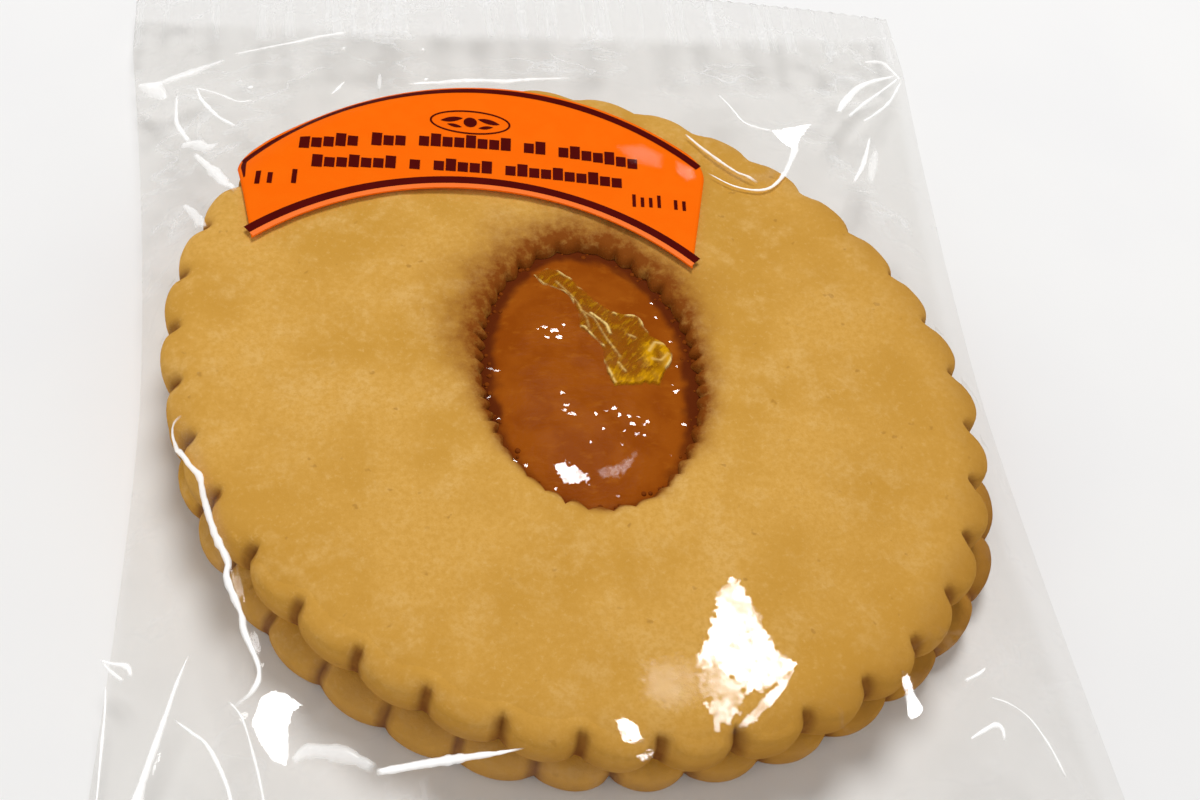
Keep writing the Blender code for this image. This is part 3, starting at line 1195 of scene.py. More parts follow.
@dataclass
class JamBeads:
    """Small wet crumbs of jam and peel at the foot of the window's toothed wall."""

    jam: Jam
    seed: int = 7
    count: int = 90
    inset: tuple[float, float] = (0.3, 0.6)
    radii: tuple[float, float] = (0.12, 0.38)
    squash: float = 0.6

    def build(self, material: bpy.types.Material) -> bpy.types.Object:
        """Scatter small flattened domes near the edge.

        Args:
            material: The piece's material.

        Returns:
            The finished piece.
        """
        draw = np.random.default_rng(self.seed)
        bm = bmesh.new()
        for _ in range(self.count):
            angle = draw.uniform(-math.pi, math.pi)
            reach = float(self.jam.oval.window(np.array(angle))) - abs(draw.normal(*self.inset))
            x = self.jam.oval.centre[0] + reach * math.cos(angle)
            y = self.jam.oval.centre[1] + reach * math.sin(angle)
            radius = draw.uniform(*self.radii)
            height = float(self.jam.height(np.array([x]), np.array([y]))[0])
            squash = Matrix.Diagonal((1.0, 1.0, self.squash, 1.0))
            place = Matrix.Translation((x, y, height)) @ squash
            bmesh.ops.create_icosphere(bm, subdivisions=2, radius=radius, matrix=place)
        tint = np.full(len(bm.verts), 0.6)
        return finish_piece(bm, "jam_beads", material, {Attr.SOAK: tint})


# Film


@dataclass(frozen=True)
class Crease:
    """A crease in the film: a chain of points, how wide and high it stands, and how white it is, partly as
    a painted highlight.
    """

    points: Pairs
    width: float = 0.8
    height: float = 0.5
    white: float = 0.35


@dataclass
class FilmForm:
    """Form of the bag's film, tight over the biscuit and slack round it."""

    oval: Oval
    width: float
    length: float
    top: float = 14.5
    crown: float = 0.3
    shoulder: float = 2.0
    shoulder_start: float = 0.89
    waist: float = 107.8
    seal_length: float = 12.0
    side_fold: float = 5.2
    corner: float = 3.4
    seal: float = 7.2
    thickness: float = 0.5
    flute_depth: float = 1.44
    window_dip: float = 0.3
    fold_fans: Pairs = (
        (-17.0, 0.5),
        (-9.0, -0.5),
        (-2.0, 1.1),
        (6.0, -0.4),
        (13.0, 0.7),
    )
    fold_width: float = math.radians(2.2)

    @property
    def half_length(self) -> float:
        """Half the length between the seals."""
        return self.length / 2.0 - self.seal_length

    def half_width(self, y: Array) -> Array:
        """Half the bag's width."""
        share = np.minimum(np.abs(y) / self.half_length, 1.0) ** 1.6
        return self.waist / 2.0 + (self.width - self.waist) / 2.0 * share

    def outline(self, angle: Array) -> Array:
        """Distance from the biscuit's centre to the edge of the bag's body.

        Args:
            angle: Directions from the biscuit's centre, in radians.

        Returns:
            The distances, in millimetres.
        """
        radius = np.full(angle.shape, self.waist / 2.0)
        for _ in range(30):
            x = self.oval.centre[0] + radius * np.cos(angle)
            y = self.oval.centre[1] + radius * np.sin(angle)
            over = np.maximum(np.abs(x) / self.half_width(y), np.abs(y) / self.half_length)
            radius = radius / over
        return radius

    def edge(self, x: Array, y: Array) -> Array:
        """Height of the fold or seal at the edge of the body.

        Args:
            x: Places along X, in millimetres.
            y: Places along Y, in millimetres.

        Returns:
            The heights, in millimetres.
        """
        along = np.minimum(np.abs(y) / self.half_length, 1.0)
        across = np.minimum(np.abs(x) / self.half_width(y), 1.0)
        side = self.side_fold + (self.corner - self.side_fold) * along ** 2
        end = self.seal + (self.corner - self.seal) * across ** 2
        return np.where(along > across, end, side)

    def folds(self, angle: Array, share: Array) -> Array:
        """Height that the tension folds add to the slack film.

        Args:
            angle: Directions from the biscuit's centre, in radians.
            share: Distances from the rim, 0, to the bag's edge, 1.

        Returns:
            The heights, in millimetres.
        """
        height = np.zeros(angle.shape)
        for side in (1.0, -1.0):
            for end in (1.0, -1.0):
                dx = side * self.width / 2.0 - self.oval.centre[0]
                dy = end * self.half_length - self.oval.centre[1]
                middle = math.atan2(dy, dx)
                for offset, size in self.fold_fans:
                    away = angle - middle - side * end * math.radians(offset)
                    away = (away + math.pi) % math.tau - math.pi
                    height += size * np.exp(-((away / self.fold_width) ** 2))
        return height * np.sin(math.pi * np.clip(share, 0.0, 1.0))

    def tight(self, share: Array) -> Array:
        """Height of the film on the biscuit."""
        slope = np.clip((share - self.shoulder_start) / (1.0 - self.shoulder_start), 0.0, 1.0)
        return self.top + self.crown * (1.0 - share * share) - self.shoulder * slope ** 2.4

    def upper(self, x: Array, y: Array, fluted: float = 1.0) -> Array:
        """Height of the upper film.

        Args:
            x: Places along X, in millimetres.
            y: Places along Y, in millimetres.
            fluted: How much the film dips into the notches.

        Returns:
            The heights, in millimetres.
        """
        angle, radius = self.oval.polar(x, y)
        rim = self.oval.rim(angle)
        outer = np.maximum(self.outline(angle), rim + 1.0)
        sunk = fluted * self.flute_depth * self.oval.notch(angle)
        slack = np.clip((radius - rim) / (outer - rim), 0.0, 1.0)
        reach = np.clip((radius / rim - self.shoulder_start) / (1.0 - self.shoulder_start), 0.0, 1.0)
        eased = radius + sunk * np.where(radius < rim, reach ** 2, (1.0 - slack) ** 5)
        share = eased / rim
        slack = np.clip((eased - rim) / (outer - rim), 0.0, 1.0)
        ex = self.oval.centre[0] + outer * np.cos(angle)
        ey = self.oval.centre[1] + outer * np.sin(angle)
        low = self.edge(ex, ey) + self.thickness / 2.0
        high = self.tight(np.ones(1))[0]
        loose = low + (high - low) * (1.0 - slack) ** 1.25 + self.folds(angle, slack)
        height = np.where(share <= 1.0, self.tight(np.minimum(share, 1.0)), loose)
        dip = ease((1.0 - radius / self.oval.window(angle)) * 7.0)
        return height - self.window_dip * dip

    def lower(self, x: Array, y: Array, under: Oval, shift: tuple[float, float]) -> Array:
        """Height of the lower film, which leaves the floor at the base biscuit's edge.

        Args:
            x: Places along X, in millimetres.
            y: Places along Y, in millimetres.
            under: Outline of the base biscuit.
            shift: Where the base biscuit lies from the oval's centre.

        Returns:
            The heights, in millimetres.
        """
        angle, radius = self.oval.polar(x, y)
        base = under.rim(angle) + shift[0] * np.cos(angle) + shift[1] * np.sin(angle)
        outer = np.maximum(self.outline(angle), base + 1.0)
        slack = np.clip((radius - base * 0.97) / (outer - base * 0.97), 0.0, 1.0)
        ex = self.oval.centre[0] + outer * np.cos(angle)
        ey = self.oval.centre[1] + outer * np.sin(angle)
        return (self.edge(ex, ey) - self.thickness / 2.0) * slack ** 1.6


@dataclass
class FilmBag:
    """The clear film: an upper and a lower sheet joined at the side folds and crimped ends."""

    form: FilmForm
    base: Oval
    base_shift: tuple[float, float]
    creases: tuple[Crease, ...]
    ribs: int = 61
    rib_height: float = 0.3
    tooth: float = 0.7
    apart: float = 9.0
    clearance: float = 0.02
    loose_from: float = 46.0
    loose_over: float = 12.0
    cling_end: float = 1.06
    cling_fade: float = 0.05
    slack_waves: Ripples = ((11.0, 0.22, 21.0), (4.2, 0.10, 33.0))
    body_rows: int = 182
    seal_rows: int = 9

    @property
    def cells(self) -> tuple[int, int]:
        """Columns and rows of each sheet's grid."""
        return self.ribs * 4, self.body_rows + 2 * self.seal_rows

    def wrinkles(self, x: Array, y: Array, upper: bool) -> tuple[Array, Array]:
        """Height that creases and slack waves add, and how white the creases are, partly as a painted
        highlight.

        Args:
            x: Places along X, in millimetres.
            y: Places along Y, in millimetres.
            upper: True for the sheet on top.

        Returns:
            The heights, and the whiteness from 0 to 1.
        """
        white = np.zeros(x.shape)
        rise = np.zeros(x.shape)
        sign = 1.0 if upper else -1.0
        if upper:
            for crease in self.creases:
                away, along = line_distance(x, y, crease.points)
                taper = np.sqrt(np.clip(4.0 * along * (1.0 - along) + 0.05, 0.0, 1.0))
                ridge = np.exp(-((away / crease.width) ** 2)) * taper
                rise = rise + crease.height * ridge
                white = np.maximum(white, crease.white * ridge ** 1.5)
        _, radius = self.form.oval.polar(x, y)
        loose = ease((radius - self.loose_from) / self.loose_over)
        slack = ripples(spots(x, y, sign * self.apart), self.slack_waves)
        return rise + sign * loose * slack, white

    def cling(self, x: Array, y: Array, upper: bool) -> Array:
        """Where the film lies tight on the matte biscuit and hardly shines.

        Args:
            x: Places along X, in millimetres.
            y: Places along Y, in millimetres.
            upper: True for the sheet on top.

        Returns:
            1 where it lies tight and 0 where it is loose.
        """
        if not upper:
            return np.ones(x.shape)
        angle, radius = self.form.oval.polar(x, y)
        return ease((self.cling_end - radius / self.form.oval.rim(angle)) / self.cling_fade)

    def over(self, x: Array, y: Array) -> Array:
        """Height of the upper film with its wrinkles."""
        return self.form.upper(x, y) + self.wrinkles(x, y, True)[0]

    def sheet(self, upper: bool) -> tuple[Array, dict[Attr, Array]]:
        """Work out one sheet.

        Args:
            upper: True for the sheet on top.

        Returns:
            The place of each vertex of the grid, and its attributes.
        """
        columns, rows = self.cells
        u = np.tile(np.linspace(-1.0, 1.0, columns + 1), rows + 1)
        row = np.repeat(np.arange(rows + 1), columns + 1)
        half = self.form.half_length
        seal = self.form.seal_length
        inner = np.clip((row - self.seal_rows) / self.body_rows, 0.0, 1.0) * 2.0 - 1.0
        before = np.clip((self.seal_rows - row) / self.seal_rows, 0.0, 1.0)
        after = np.clip((row - self.seal_rows - self.body_rows) / self.seal_rows, 0.0, 1.0)
        out = before + after
        end = np.where(before > 0.0, -1.0, 1.0)
        y = inner * half + end * out * seal
        rib = 0.5 - 0.5 * np.cos(math.pi * self.ribs * (u + 1.0))
        y = y - end * self.tooth * rib * out ** 3
        x = u * self.form.half_width(y)
        body_x = x * 0.9999
        body_y = np.clip(y, -half, half) * 0.9999
        if upper:
            height = self.form.upper(body_x, body_y)
        else:
            height = self.form.lower(body_x, body_y, self.base, self.base_shift)
        sign = 1.0 if upper else -1.0
        flat = self.form.edge(x, np.full(x.shape, half)) + sign * self.form.thickness / 2.0
        flat += self.rib_height * rib * ease(out * 6.0)
        shut = ease(out * 8.0)
        outermost = (np.abs(u) >= 1.0) | (row == 0) | (row == rows)
        z = height * (1.0 - shut) + flat * shut
        rise, white = self.wrinkles(x, y, upper)
        z = z + rise * (1.0 - shut)
        weld = self.form.edge(x, y) + self.rib_height * rib * ease(out * 6.0)
        z = np.where(outermost, weld, z)
        if not upper:
            z = np.maximum(z, self.clearance)
        _, radius = self.form.oval.polar(x, y)
        # Crease whiteness and slack streaks are partly painted highlight and painted sheen.
        attributes = {
            Attr.CREASE: white,
            Attr.SEAL: shut,
            Attr.CLING: self.cling(x, y, upper),
            Attr.SLACK: ease((radius - 50.0) / 8.0) * (0.35 + 0.65 * ease((y + 10.0) / 30.0)),
        }
        return np.column_stack([x, y, z]), attributes

    def build(self, material: bpy.types.Material, under_material: bpy.types.Material) -> bpy.types.Object:
        """Lay both sheets and weld them round the outline.

        Args:
            material: The piece's material.
            under_material: The lower sheet's material.

        Returns:
            The finished piece.
        """
        bm = bmesh.new()
        bmesh.ops.create_grid(bm, x_segments=self.cells[0], y_segments=self.cells[1], size=1.0)
        over, over_tints = self.sheet(True)
        under, under_tints = self.sheet(False)
        copied = bmesh.ops.duplicate(bm, geom=bm.verts[:] + bm.edges[:] + bm.faces[:])
        flipped = [part for part in copied["geom"] if isinstance(part, bmesh.types.BMFace)]
        bmesh.ops.reverse_faces(bm, faces=flipped)
        for face in flipped:
            face.material_index = 1
        put_places(bm, np.concatenate([over, under]))
        for key in over_tints:
            layer = bm.verts.layers.float.new(key.value)
            values = np.concatenate([over_tints[key], under_tints[key]])
            for vert, value in zip(bm.verts, values):
                vert[layer] = value
        bmesh.ops.remove_doubles(bm, verts=bm.verts, dist=0.0005)
        piece = finish_piece(bm, "film_bag", material)
        piece.data.materials.append(under_material)
        return piece


@dataclass(frozen=True)
class FoldHighlight:
    """A sharp fold painted as a white highlight: a chain of points, widths at its start, middle and end,
    and how opaque it is.
    """

    points: Pairs
    widths: Triple = (0.2, 0.6, 0.1)
    opaque: float = 0.9


@dataclass
class FoldHighlights:
    """Narrow raised folds that lie along the film's creases, painted white as highlights."""

    bag: FilmBag
    folds: tuple[FoldHighlight, ...]
    step: float = 0.35
    lift: float = 0.12
    across: int = 4
    roughness: Ripples = ((1.6, 0.30, 3.0), (0.7, 0.30, 5.0))

    def build(self, material: bpy.types.Material) -> bpy.types.Object:
        """Lay one fine strip for each fold.

        Args:
            material: The piece's material.

        Returns:
            The finished piece.
        """
        bm = bmesh.new()
        fades = []
        for place, fold in enumerate(self.folds):
            line = smooth_line(fold.points, self.step)
            strip = bmesh.new()
            bmesh.ops.create_grid(strip, x_segments=self.across, y_segments=len(line) - 1, size=1.0)
            flat = places_of(strip)
            along = flat[:, 1] / 2.0 + 0.5
            ranks = along * (len(line) - 1)
            steps = np.arange(len(line))
            x = np.interp(ranks, steps, line[:, 0])
            y = np.interp(ranks, steps, line[:, 1])
            run = np.gradient(line, axis=0)
            tx = np.interp(ranks, steps, run[:, 0])
            ty = np.interp(ranks, steps, run[:, 1])
            size = np.hypot(tx, ty)
            wide = np.interp(along, (0.0, 0.5, 1.0), fold.widths)
            wide = wide * (1.0 + ripples(spots(x, y, float(place)), self.roughness))
            side = flat[:, 0] * wide / 2.0
            x = x - ty / size * side
            y = y + tx / size * side
            hump = (1.0 - flat[:, 0] ** 2) * wide * 0.3
            z = self.bag.over(x, y) + self.lift + hump
            put_places(strip, np.column_stack([x, y, z]))
            ends = ease(along / 0.06 + 0.15) * ease((1.0 - along) / 0.12 + 0.1)
            edge = 1.0 - 0.55 * np.abs(flat[:, 0]) ** 3
            fades.append(fold.opaque * ends * edge)
            add_to(bm, strip)
        return finish_piece(bm, "film_fold_highlights", material, {Attr.FADE: np.concatenate(fades)})


@dataclass(frozen=True)
class Facet:
    """A facet of the film: its outline, how strongly it shines, and how soft its edge is."""

    outline: Pairs
    strength: float = 1.0
    edge: float = 0.5
    ragged: float = 0.12


@dataclass
class Facets:
    """Small flat facets on a wet or glossy surface that mirror the lamp to a viewer."""

    name: str
    surface: Callable[[Array, Array], Array]
    lamp: Vector
    viewer: Vector
    facets: tuple[Facet, ...]
    cell: float = 0.22
    lift: float = 0.06
    tears: Ripples = ((0.9, 1.0, 4.0), (0.35, 1.0, 9.0))

    def slope(self, x: float, y: float, z: float) -> tuple[float, float]:
        """Slopes along x and y of a plane that mirrors the lamp to the viewer.

        Args:
            x: Place along X.
            y: Place along Y.
            z: Height, in millimetres.

        Returns:
            The slope along X and along Y.
        """
        here = Vector((x, y, z))
        half = (self.lamp - here).normalized() + (self.viewer - here).normalized()
        return -half.x / half.z, -half.y / half.z

    def build(self, material: bpy.types.Material) -> bpy.types.Object:
        """Cut each facet from a fine grid that follows the surface.

        Args:
            material: The piece's material.

        Returns:
            The finished piece.
        """
        bm = bmesh.new()
        fades = []
        tilts = []
        for facet in self.facets:
            outline = np.array(facet.outline)
            spare = facet.edge / 2.0 + facet.ragged
            low = outline.min(axis=0) - spare
            high = outline.max(axis=0) + spare
            cells = [max(4, math.ceil(size / self.cell)) for size in high - low]
            part = bmesh.new()
            bmesh.ops.create_grid(part, x_segments=cells[0], y_segments=cells[1], size=1.0)
            flat = places_of(part)
            x = low[0] + (high[0] - low[0]) * (flat[:, 0] / 2.0 + 0.5)
            y = low[1] + (high[1] - low[1]) * (flat[:, 1] / 2.0 + 0.5)
            ring = facet.outline + facet.outline[:1]
            away, _ = line_distance(x, y, ring)
            depth = np.where(inside(x, y, facet.outline), away, -away)
            depth = depth + facet.ragged * ripples(spots(x, y), self.tears)
            fade = facet.strength * ease(depth / facet.edge + 0.5)
            height = self.surface(x, y)
            put_places(part, np.column_stack([x, y, height + self.lift]))
            sx, sy = self.slope(float(x.mean()), float(y.mean()), float(height.mean()))
            tilt = sx * x + sy * y - height
            keep = fade > 0.0
            gone = [vert for vert, kept in zip(part.verts, keep) if not kept]
            bmesh.ops.delete(part, geom=gone, context="VERTS")
            fades.append(fade[keep])
            tilts.append(tilt[keep])
            add_to(bm, part)
        attributes = {Attr.FADE: np.concatenate(fades), Attr.TILT: np.concatenate(tilts)}
        return finish_piece(bm, self.name, material, attributes)


def sparkles(places: Ripples, seed: int) -> tuple[Facet, ...]:
    """Small ragged facets round the given places and sizes, so that wet jam sparkles.

    Args:
        places: Place and size of each sparkle.
        seed: Seed of the random shapes.

    Returns:
        The facets.
    """
    draw = np.random.default_rng(seed)
    made = []
    for x, y, size in places:
        turns = np.sort(draw.uniform(0.0, math.tau, 7))
        reach = 1.3 * size * draw.uniform(0.5, 1.25, 7)
        xs = x + reach * np.cos(turns)
        ys = y + 0.75 * reach * np.sin(turns)
        made.append(Facet(tuple(zip(xs.tolist(), ys.tolist())), edge=0.16, ragged=0.08))
    return tuple(made)


# Label


@dataclass
class LabelForm:
    """Banner cut from two arcs: flat coordinates in millimetres, bent over the film."""

    form: FilmForm
    foot: tuple[float, float] = (-12.7, 17.8)
    turn: float = math.radians(-5.4)
    inner: Triple = (0.1, -30.2, 40.7)
    outer: Triple = (1.1, -11.7, 41.8)
    inner_ends: tuple[float, float] = (-27.9, 27.8)
    outer_ends: tuple[float, float] = (-31.6, 30.6)
    corner: float = 2.4
    end_height: float = 15.5
    gap: float = 0.10

    def arc(self, inner: bool, across: Array, inset: float = 0.0) -> tuple[Array, Array]:
        """Flat place on an arc of the label, set in from it, for -1 to 1 across it.

        Args:
            inner: True for the lower arc.
            across: Places across the label, -1 to 1.
            inset: How far in from the arc, in millimetres.

        Returns:
            The flat places along and up the label.
        """
        cx, cy, radius = self.inner if inner else self.outer
        ends = self.inner_ends if inner else self.outer_ends
        low, high = (math.asin((end - cx) / radius) for end in ends)
        turn = low + (high - low) * (across + 1.0) / 2.0
        reach = radius + inset if inner else radius - inset
        return cx + reach * np.sin(turn), cy + reach * np.cos(turn)

    def spread(self, across: Array, up: Array) -> tuple[Array, Array]:
        """Flat place for -1 to 1 across and 0 to 1 up, with the outer corners rounded off.

        Args:
            across: Places across the label, -1 to 1.
            up: Shares of the way from the lower to the upper arc.

        Returns:
            The flat places along and up the label.
        """
        near = np.clip(1.0 - (1.0 - up) * self.end_height / self.corner, 0.0, 1.0)
        limit = 1.0 - self.corner / self.outer_ends[1] * (1.0 - np.sqrt(1.0 - near * near))
        lx, ly = self.arc(True, across * limit)
        hx, hy = self.arc(False, across * limit)
        return lx + (hx - lx) * up, ly + (hy - ly) * up

    def place(self, fx: Array, fy: Array, lift: float = 0.0) -> Array:
        """Bend flat places over the film, lifted above the label's underside.

        Args:
            fx: Flat places along the label.
            fy: Flat places up the label.
            lift: Height above the label's underside.

        Returns:
            The places as rows of an array.
        """
        x = self.foot[0] + fx * math.cos(self.turn) - fy * math.sin(self.turn)
        y = self.foot[1] + fx * math.sin(self.turn) + fy * math.cos(self.turn)
        z = self.form.upper(x, y, 0.0) + self.gap + lift
        return np.column_stack([x, y, z])


@dataclass(frozen=True)
class BlockRow:
    """A bowed row of plain blocks in groups, with a block's share of its step and its height."""

    line: Pairs
    groups: tuple[int, ...]
    wide: float
    tall: float


@dataclass
class Label:
    """The label's sheet and the plain print on it."""

    shape: LabelForm
    thickness: float = 0.12
    ink: float = 0.05
    ornament: tuple[float, float] = (-1.4, 22.6)
    leaves: tuple[tuple[float, ...], ...] = (
        (-2.5, 0.35, 3.0, 0.9, 0.35),
        (2.5, 0.35, 3.0, 0.9, -0.35),
        (-2.1, -0.8, 2.0, 0.6, -0.2),
        (2.1, -0.8, 2.0, 0.6, 0.2),
    )
    rows: tuple[BlockRow, ...] = (
        BlockRow(((-23.7, 16.2), (-1.4, 18.7), (21.3, 17.2)), (5, 3, 8, 2, 7), 0.86, 1.8),
        BlockRow(((-21.8, 13.0), (-1.2, 14.2), (19.1, 13.5)), (7, 1, 5, 10), 0.86, 1.7),
        BlockRow(((-29.0, 9.3), (-26.0, 9.8), (-22.9, 10.0)), (2, 1), 0.42, 1.9),
        BlockRow(((20.0, 10.3), (24.0, 10.5), (27.8, 10.3)), (4, 2), 0.42, 1.7),
    )

    def sheet(self, material: bpy.types.Material) -> bpy.types.Object:
        """Bend the sheet over the film.

        Args:
            material: The piece's material.

        Returns:
            The finished piece.
        """
        bm = bmesh.new()
        bmesh.ops.create_grid(bm, x_segments=120, y_segments=48, size=1.0)
        flat = places_of(bm)
        put_places(bm, self.shape.place(*self.shape.spread(flat[:, 0], flat[:, 1] / 2.0 + 0.5)))
        bmesh.ops.recalc_face_normals(bm, faces=bm.faces)
        bmesh.ops.solidify(bm, geom=bm.faces[:], thickness=-self.thickness)
        bmesh.ops.recalc_face_normals(bm, faces=bm.faces)
        return finish_piece(bm, "label_sheet", material)

    def patch(self, bm: bmesh.types.BMesh, cells: tuple[int, int], shape: Shape) -> None:
        """Add one printed shape that maps a square of -1 to 1 to flat places.

        Args:
            bm: Mesh that the shape joins.
            cells: Columns and rows of the shape's grid.
            shape: Maps a square of -1 to 1 to flat places.
        """
        part = bmesh.new()
        bmesh.ops.create_grid(part, x_segments=cells[0], y_segments=cells[1], size=1.0)
        flat = places_of(part)
        put_places(part, self.shape.place(*shape(flat[:, 0], flat[:, 1]), self.thickness + self.ink))
        add_to(bm, part)

    def stripe(self, bm: bmesh.types.BMesh, inner: bool, low: float, high: float, reach: float) -> None:
        """Add a stripe along an arc, low to high millimetres in from it.

        Args:
            bm: Mesh that the shape joins.
            inner: True for the lower arc.
            low: Where the stripe starts, in millimetres.
            high: Where the stripe ends, in millimetres.
            reach: Share of the arc that the stripe covers.
        """

        def along(u: Array, v: Array) -> tuple[Array, Array]:
            """Follow the edge at an even distance."""
            return self.shape.arc(inner, u * reach, (low + (high - low) * (v / 2.0 + 0.5)))

        self.patch(bm, (120, 3), along)

    def curl(self, u: Array, v: Array) -> tuple[Array, Array]:
        """Taper the outer stripe down round the label's left corner.

        Args:
            u: Places along the shape, -1 to 1.
            v: Places across the shape, -1 to 1.

        Returns:
            The flat places along and up the label.
        """
        tall = u / 2.0 + 0.5
        wide = 0.036 * (0.25 + 0.75 * tall)
        return self.shape.spread(-0.985 + wide * (v / 2.0 + 0.5), 0.68 + 0.27 * tall)

    def block(self, bm: bmesh.types.BMesh, x: float, y: float, wide: float, tall: float) -> None:
        """Add a plain upright block.

        Args:
            bm: Mesh that the shape joins.
            x: Middle along the label.
            y: Middle up the label.
            wide: Width, in millimetres.
            tall: Height, in millimetres.
        """

        def box(u: Array, v: Array) -> tuple[Array, Array]:
            """Scale the square."""
            return x + u * wide / 2.0, y + v * tall / 2.0

        self.patch(bm, (2, 3), box)

    def row(self, bm: bmesh.types.BMesh, row: BlockRow) -> None:
        """Fill a bowed line with groups of blocks.

        Args:
            bm: Mesh that the blocks join.
            row: The line and its groups.
        """
        count = sum(row.groups) + len(row.groups) - 1
        xs, ys = np.array(row.line).T
        step = (xs[2] - xs[0]) / count
        bow = np.polyfit(xs, ys, 2)
        slot = 0
        for group in row.groups:
            for place in range(group):
                x = xs[0] + (slot + 0.5) * step
                high = row.tall * (1.3 if (place * 7 + slot) % 3 == 0 else 1.0)
                y = float(np.polyval(bow, x)) + (high - row.tall) / 2.0
                self.block(bm, x, y, row.wide * step, high)
                slot += 1
            slot += 1

    def print_on(self, ink: bpy.types.Material, pale: bpy.types.Material) -> list[bpy.types.Object]:
        """Add the stripes, the rows of blocks, and a sprig.

        Args:
            ink: Material of the dark print.
            pale: Material of the pale line.

        Returns:
            The dark print and the pale line.
        """
        dark = bmesh.new()
        self.stripe(dark, False, 0.40, 1.45, 0.985)
        self.stripe(dark, True, 0.85, 2.00, 0.99)
        self.patch(dark, (24, 3), self.curl)
        for row in self.rows:
            self.row(dark, row)
        self.sprig(dark)
        bright = bmesh.new()
        self.stripe(bright, True, 0.08, 0.80, 0.99)
        return [finish_piece(dark, "label_print", ink), finish_piece(bright, "label_edge", pale)]

    def sprig(self, bm: bmesh.types.BMesh) -> None:
        """Add an oval ring with leaves and a round fruit in it, as a plain ornament.

        Args:
            bm: Mesh that the shape joins.
        """
        cx, cy = self.ornament

        def ring(u: Array, v: Array) -> tuple[Array, Array]:
            """Bend a strip into an oval ring."""
            turn = math.pi * u
            return cx + (5.3 + 0.14 * v) * np.cos(turn), cy + (2.1 + 0.14 * v) * np.sin(turn)

        self.patch(bm, (64, 2), ring)
        for x, y, wide, tall, lean in self.leaves:

            def leaf(u: Array, v: Array) -> tuple[Array, Array]:
                """Taper a leaf to both ends."""
                return cx + x + u * wide / 2.0, cy + y + v * tall / 2.0 * (1.0 - u * u) + lean * u

            self.patch(bm, (16, 4), leaf)

        def fruit(u: Array, v: Array) -> tuple[Array, Array]:
            """Round a square into a disc."""
            return cx + 0.9 * u * np.sqrt(1.0 - v * v / 2.0), cy + 0.9 * v * np.sqrt(1.0 - u * u / 2.0)

        self.patch(bm, (10, 10), fruit)


# Stage


@dataclass(frozen=True)
class Stage:
    """Pale floor, soft light and the camera of the photograph."""

    camera_place: Triple = (-32.79, -114.84, 168.6)
    camera_aim: Triple = (2.06, -0.84, 8.0)
    camera_roll: float = math.radians(13.06)
    lens: float = 48.0
    lamp_from: Triple = (0.08, 0.40, 0.91)
    lamp_distance: float = 1300.0
    lamp_size: float = 0.5
    lamp_power: float = 10.5
    dim_side: Triple = (0.15, 0.57, 0.81)
    dim_reach: tuple[float, float] = (0.45, 0.88)
    bright: float = 0.72
    dim: float = 0.05
    tint: Triple = (1.0, 0.985, 0.965)

    def camera(self) -> None:
        """Place the camera."""
        data = bpy.data.cameras.new("camera")
        data.lens = self.lens
        data.sensor_width = 36.0
        data.clip_start = 0.01
        made = bpy.data.objects.new("camera", data)
        bpy.context.scene.collection.objects.link(made)
        place = Vector(self.camera_place) * MM
        aim = Vector(self.camera_aim) * MM
        turn = (aim - place).to_track_quat("-Z", "Y")
        made.rotation_mode = "QUATERNION"
        made.location = place
        made.rotation_quaternion = turn @ Quaternion((0.0, 0.0, 1.0), self.camera_roll)
        bpy.context.scene.camera = made

    @property
    def lamp_place(self) -> Vector:
        """Middle of the lamp, in millimetres."""
        return Vector(self.lamp_from).normalized() * self.lamp_distance

    def lamp(self) -> None:
        """Hang one soft round lamp that faces the biscuit."""
        data = bpy.data.lights.new("lamp", "AREA")
        data.shape = "DISK"
        data.size = self.lamp_size
        data.energy = self.lamp_power
        made = bpy.data.objects.new("lamp", data)
        bpy.context.scene.collection.objects.link(made)
        made.location = self.lamp_place * MM
        made.rotation_mode = "QUATERNION"
        made.rotation_quaternion = (-self.lamp_place).to_track_quat("-Z", "Y")

    def room(self) -> None:
        """Light the surroundings softly, dim on the far side that flat film mirrors."""
        world = bpy.data.worlds.new("room")
        world.use_nodes = True
        tree = world.node_tree
        here = tree.nodes.new("ShaderNodeTexCoord")
        dot = tree.nodes.new("ShaderNodeVectorMath")
        dot.operation = "DOT_PRODUCT"
        dot.inputs[1].default_value = self.dim_side
        fade = tree.nodes.new("ShaderNodeMapRange")
        fade.interpolation_type = "SMOOTHSTEP"
        for socket, value in zip(fade.inputs[1:5], (*self.dim_reach, self.bright, self.dim)):
            socket.default_value = value
        tree.links.new(here.outputs["Generated"], dot.inputs[0])
        tree.links.new(dot.outputs["Value"], fade.inputs[0])
        background = tree.nodes["Background"]
        background.inputs["Color"].default_value = (*self.tint, 1.0)
        tree.links.new(fade.outputs[0], background.inputs["Strength"])
        bpy.context.scene.world = world

    def build(self) -> None:
        """Set the floor, the lamp, the surroundings and the camera."""
        bm = bmesh.new()
        bmesh.ops.create_grid(bm, x_segments=8, y_segments=8, size=1.5)
        mesh = bpy.data.meshes.new("floor")
        bm.to_mesh(mesh)
        bm.free()
        white = PlainFinish("white_table", (0.93, 0.93, 0.93), (0.90, 0.90, 0.91), 0.7, 40.0)
        mesh.materials.append(white.material())
        floor = bpy.data.objects.new("floor", mesh)
        bpy.context.scene.collection.objects.link(floor)
        self.lamp()
        self.room()
        bpy.context.scene.view_settings.view_transform = "Standard"
        self.camera()


BASE_SHIFT = (-0.4, 0.7)
BASE_BULGES = (Bulge(-24.0, 26.0, 5.0), Bulge(-118.0, 42.0, 2.1), Bulge(-58.0, 20.0, 1.0))
TOP_BULGES = (Bulge(-112.0, 50.0, 1.0),)
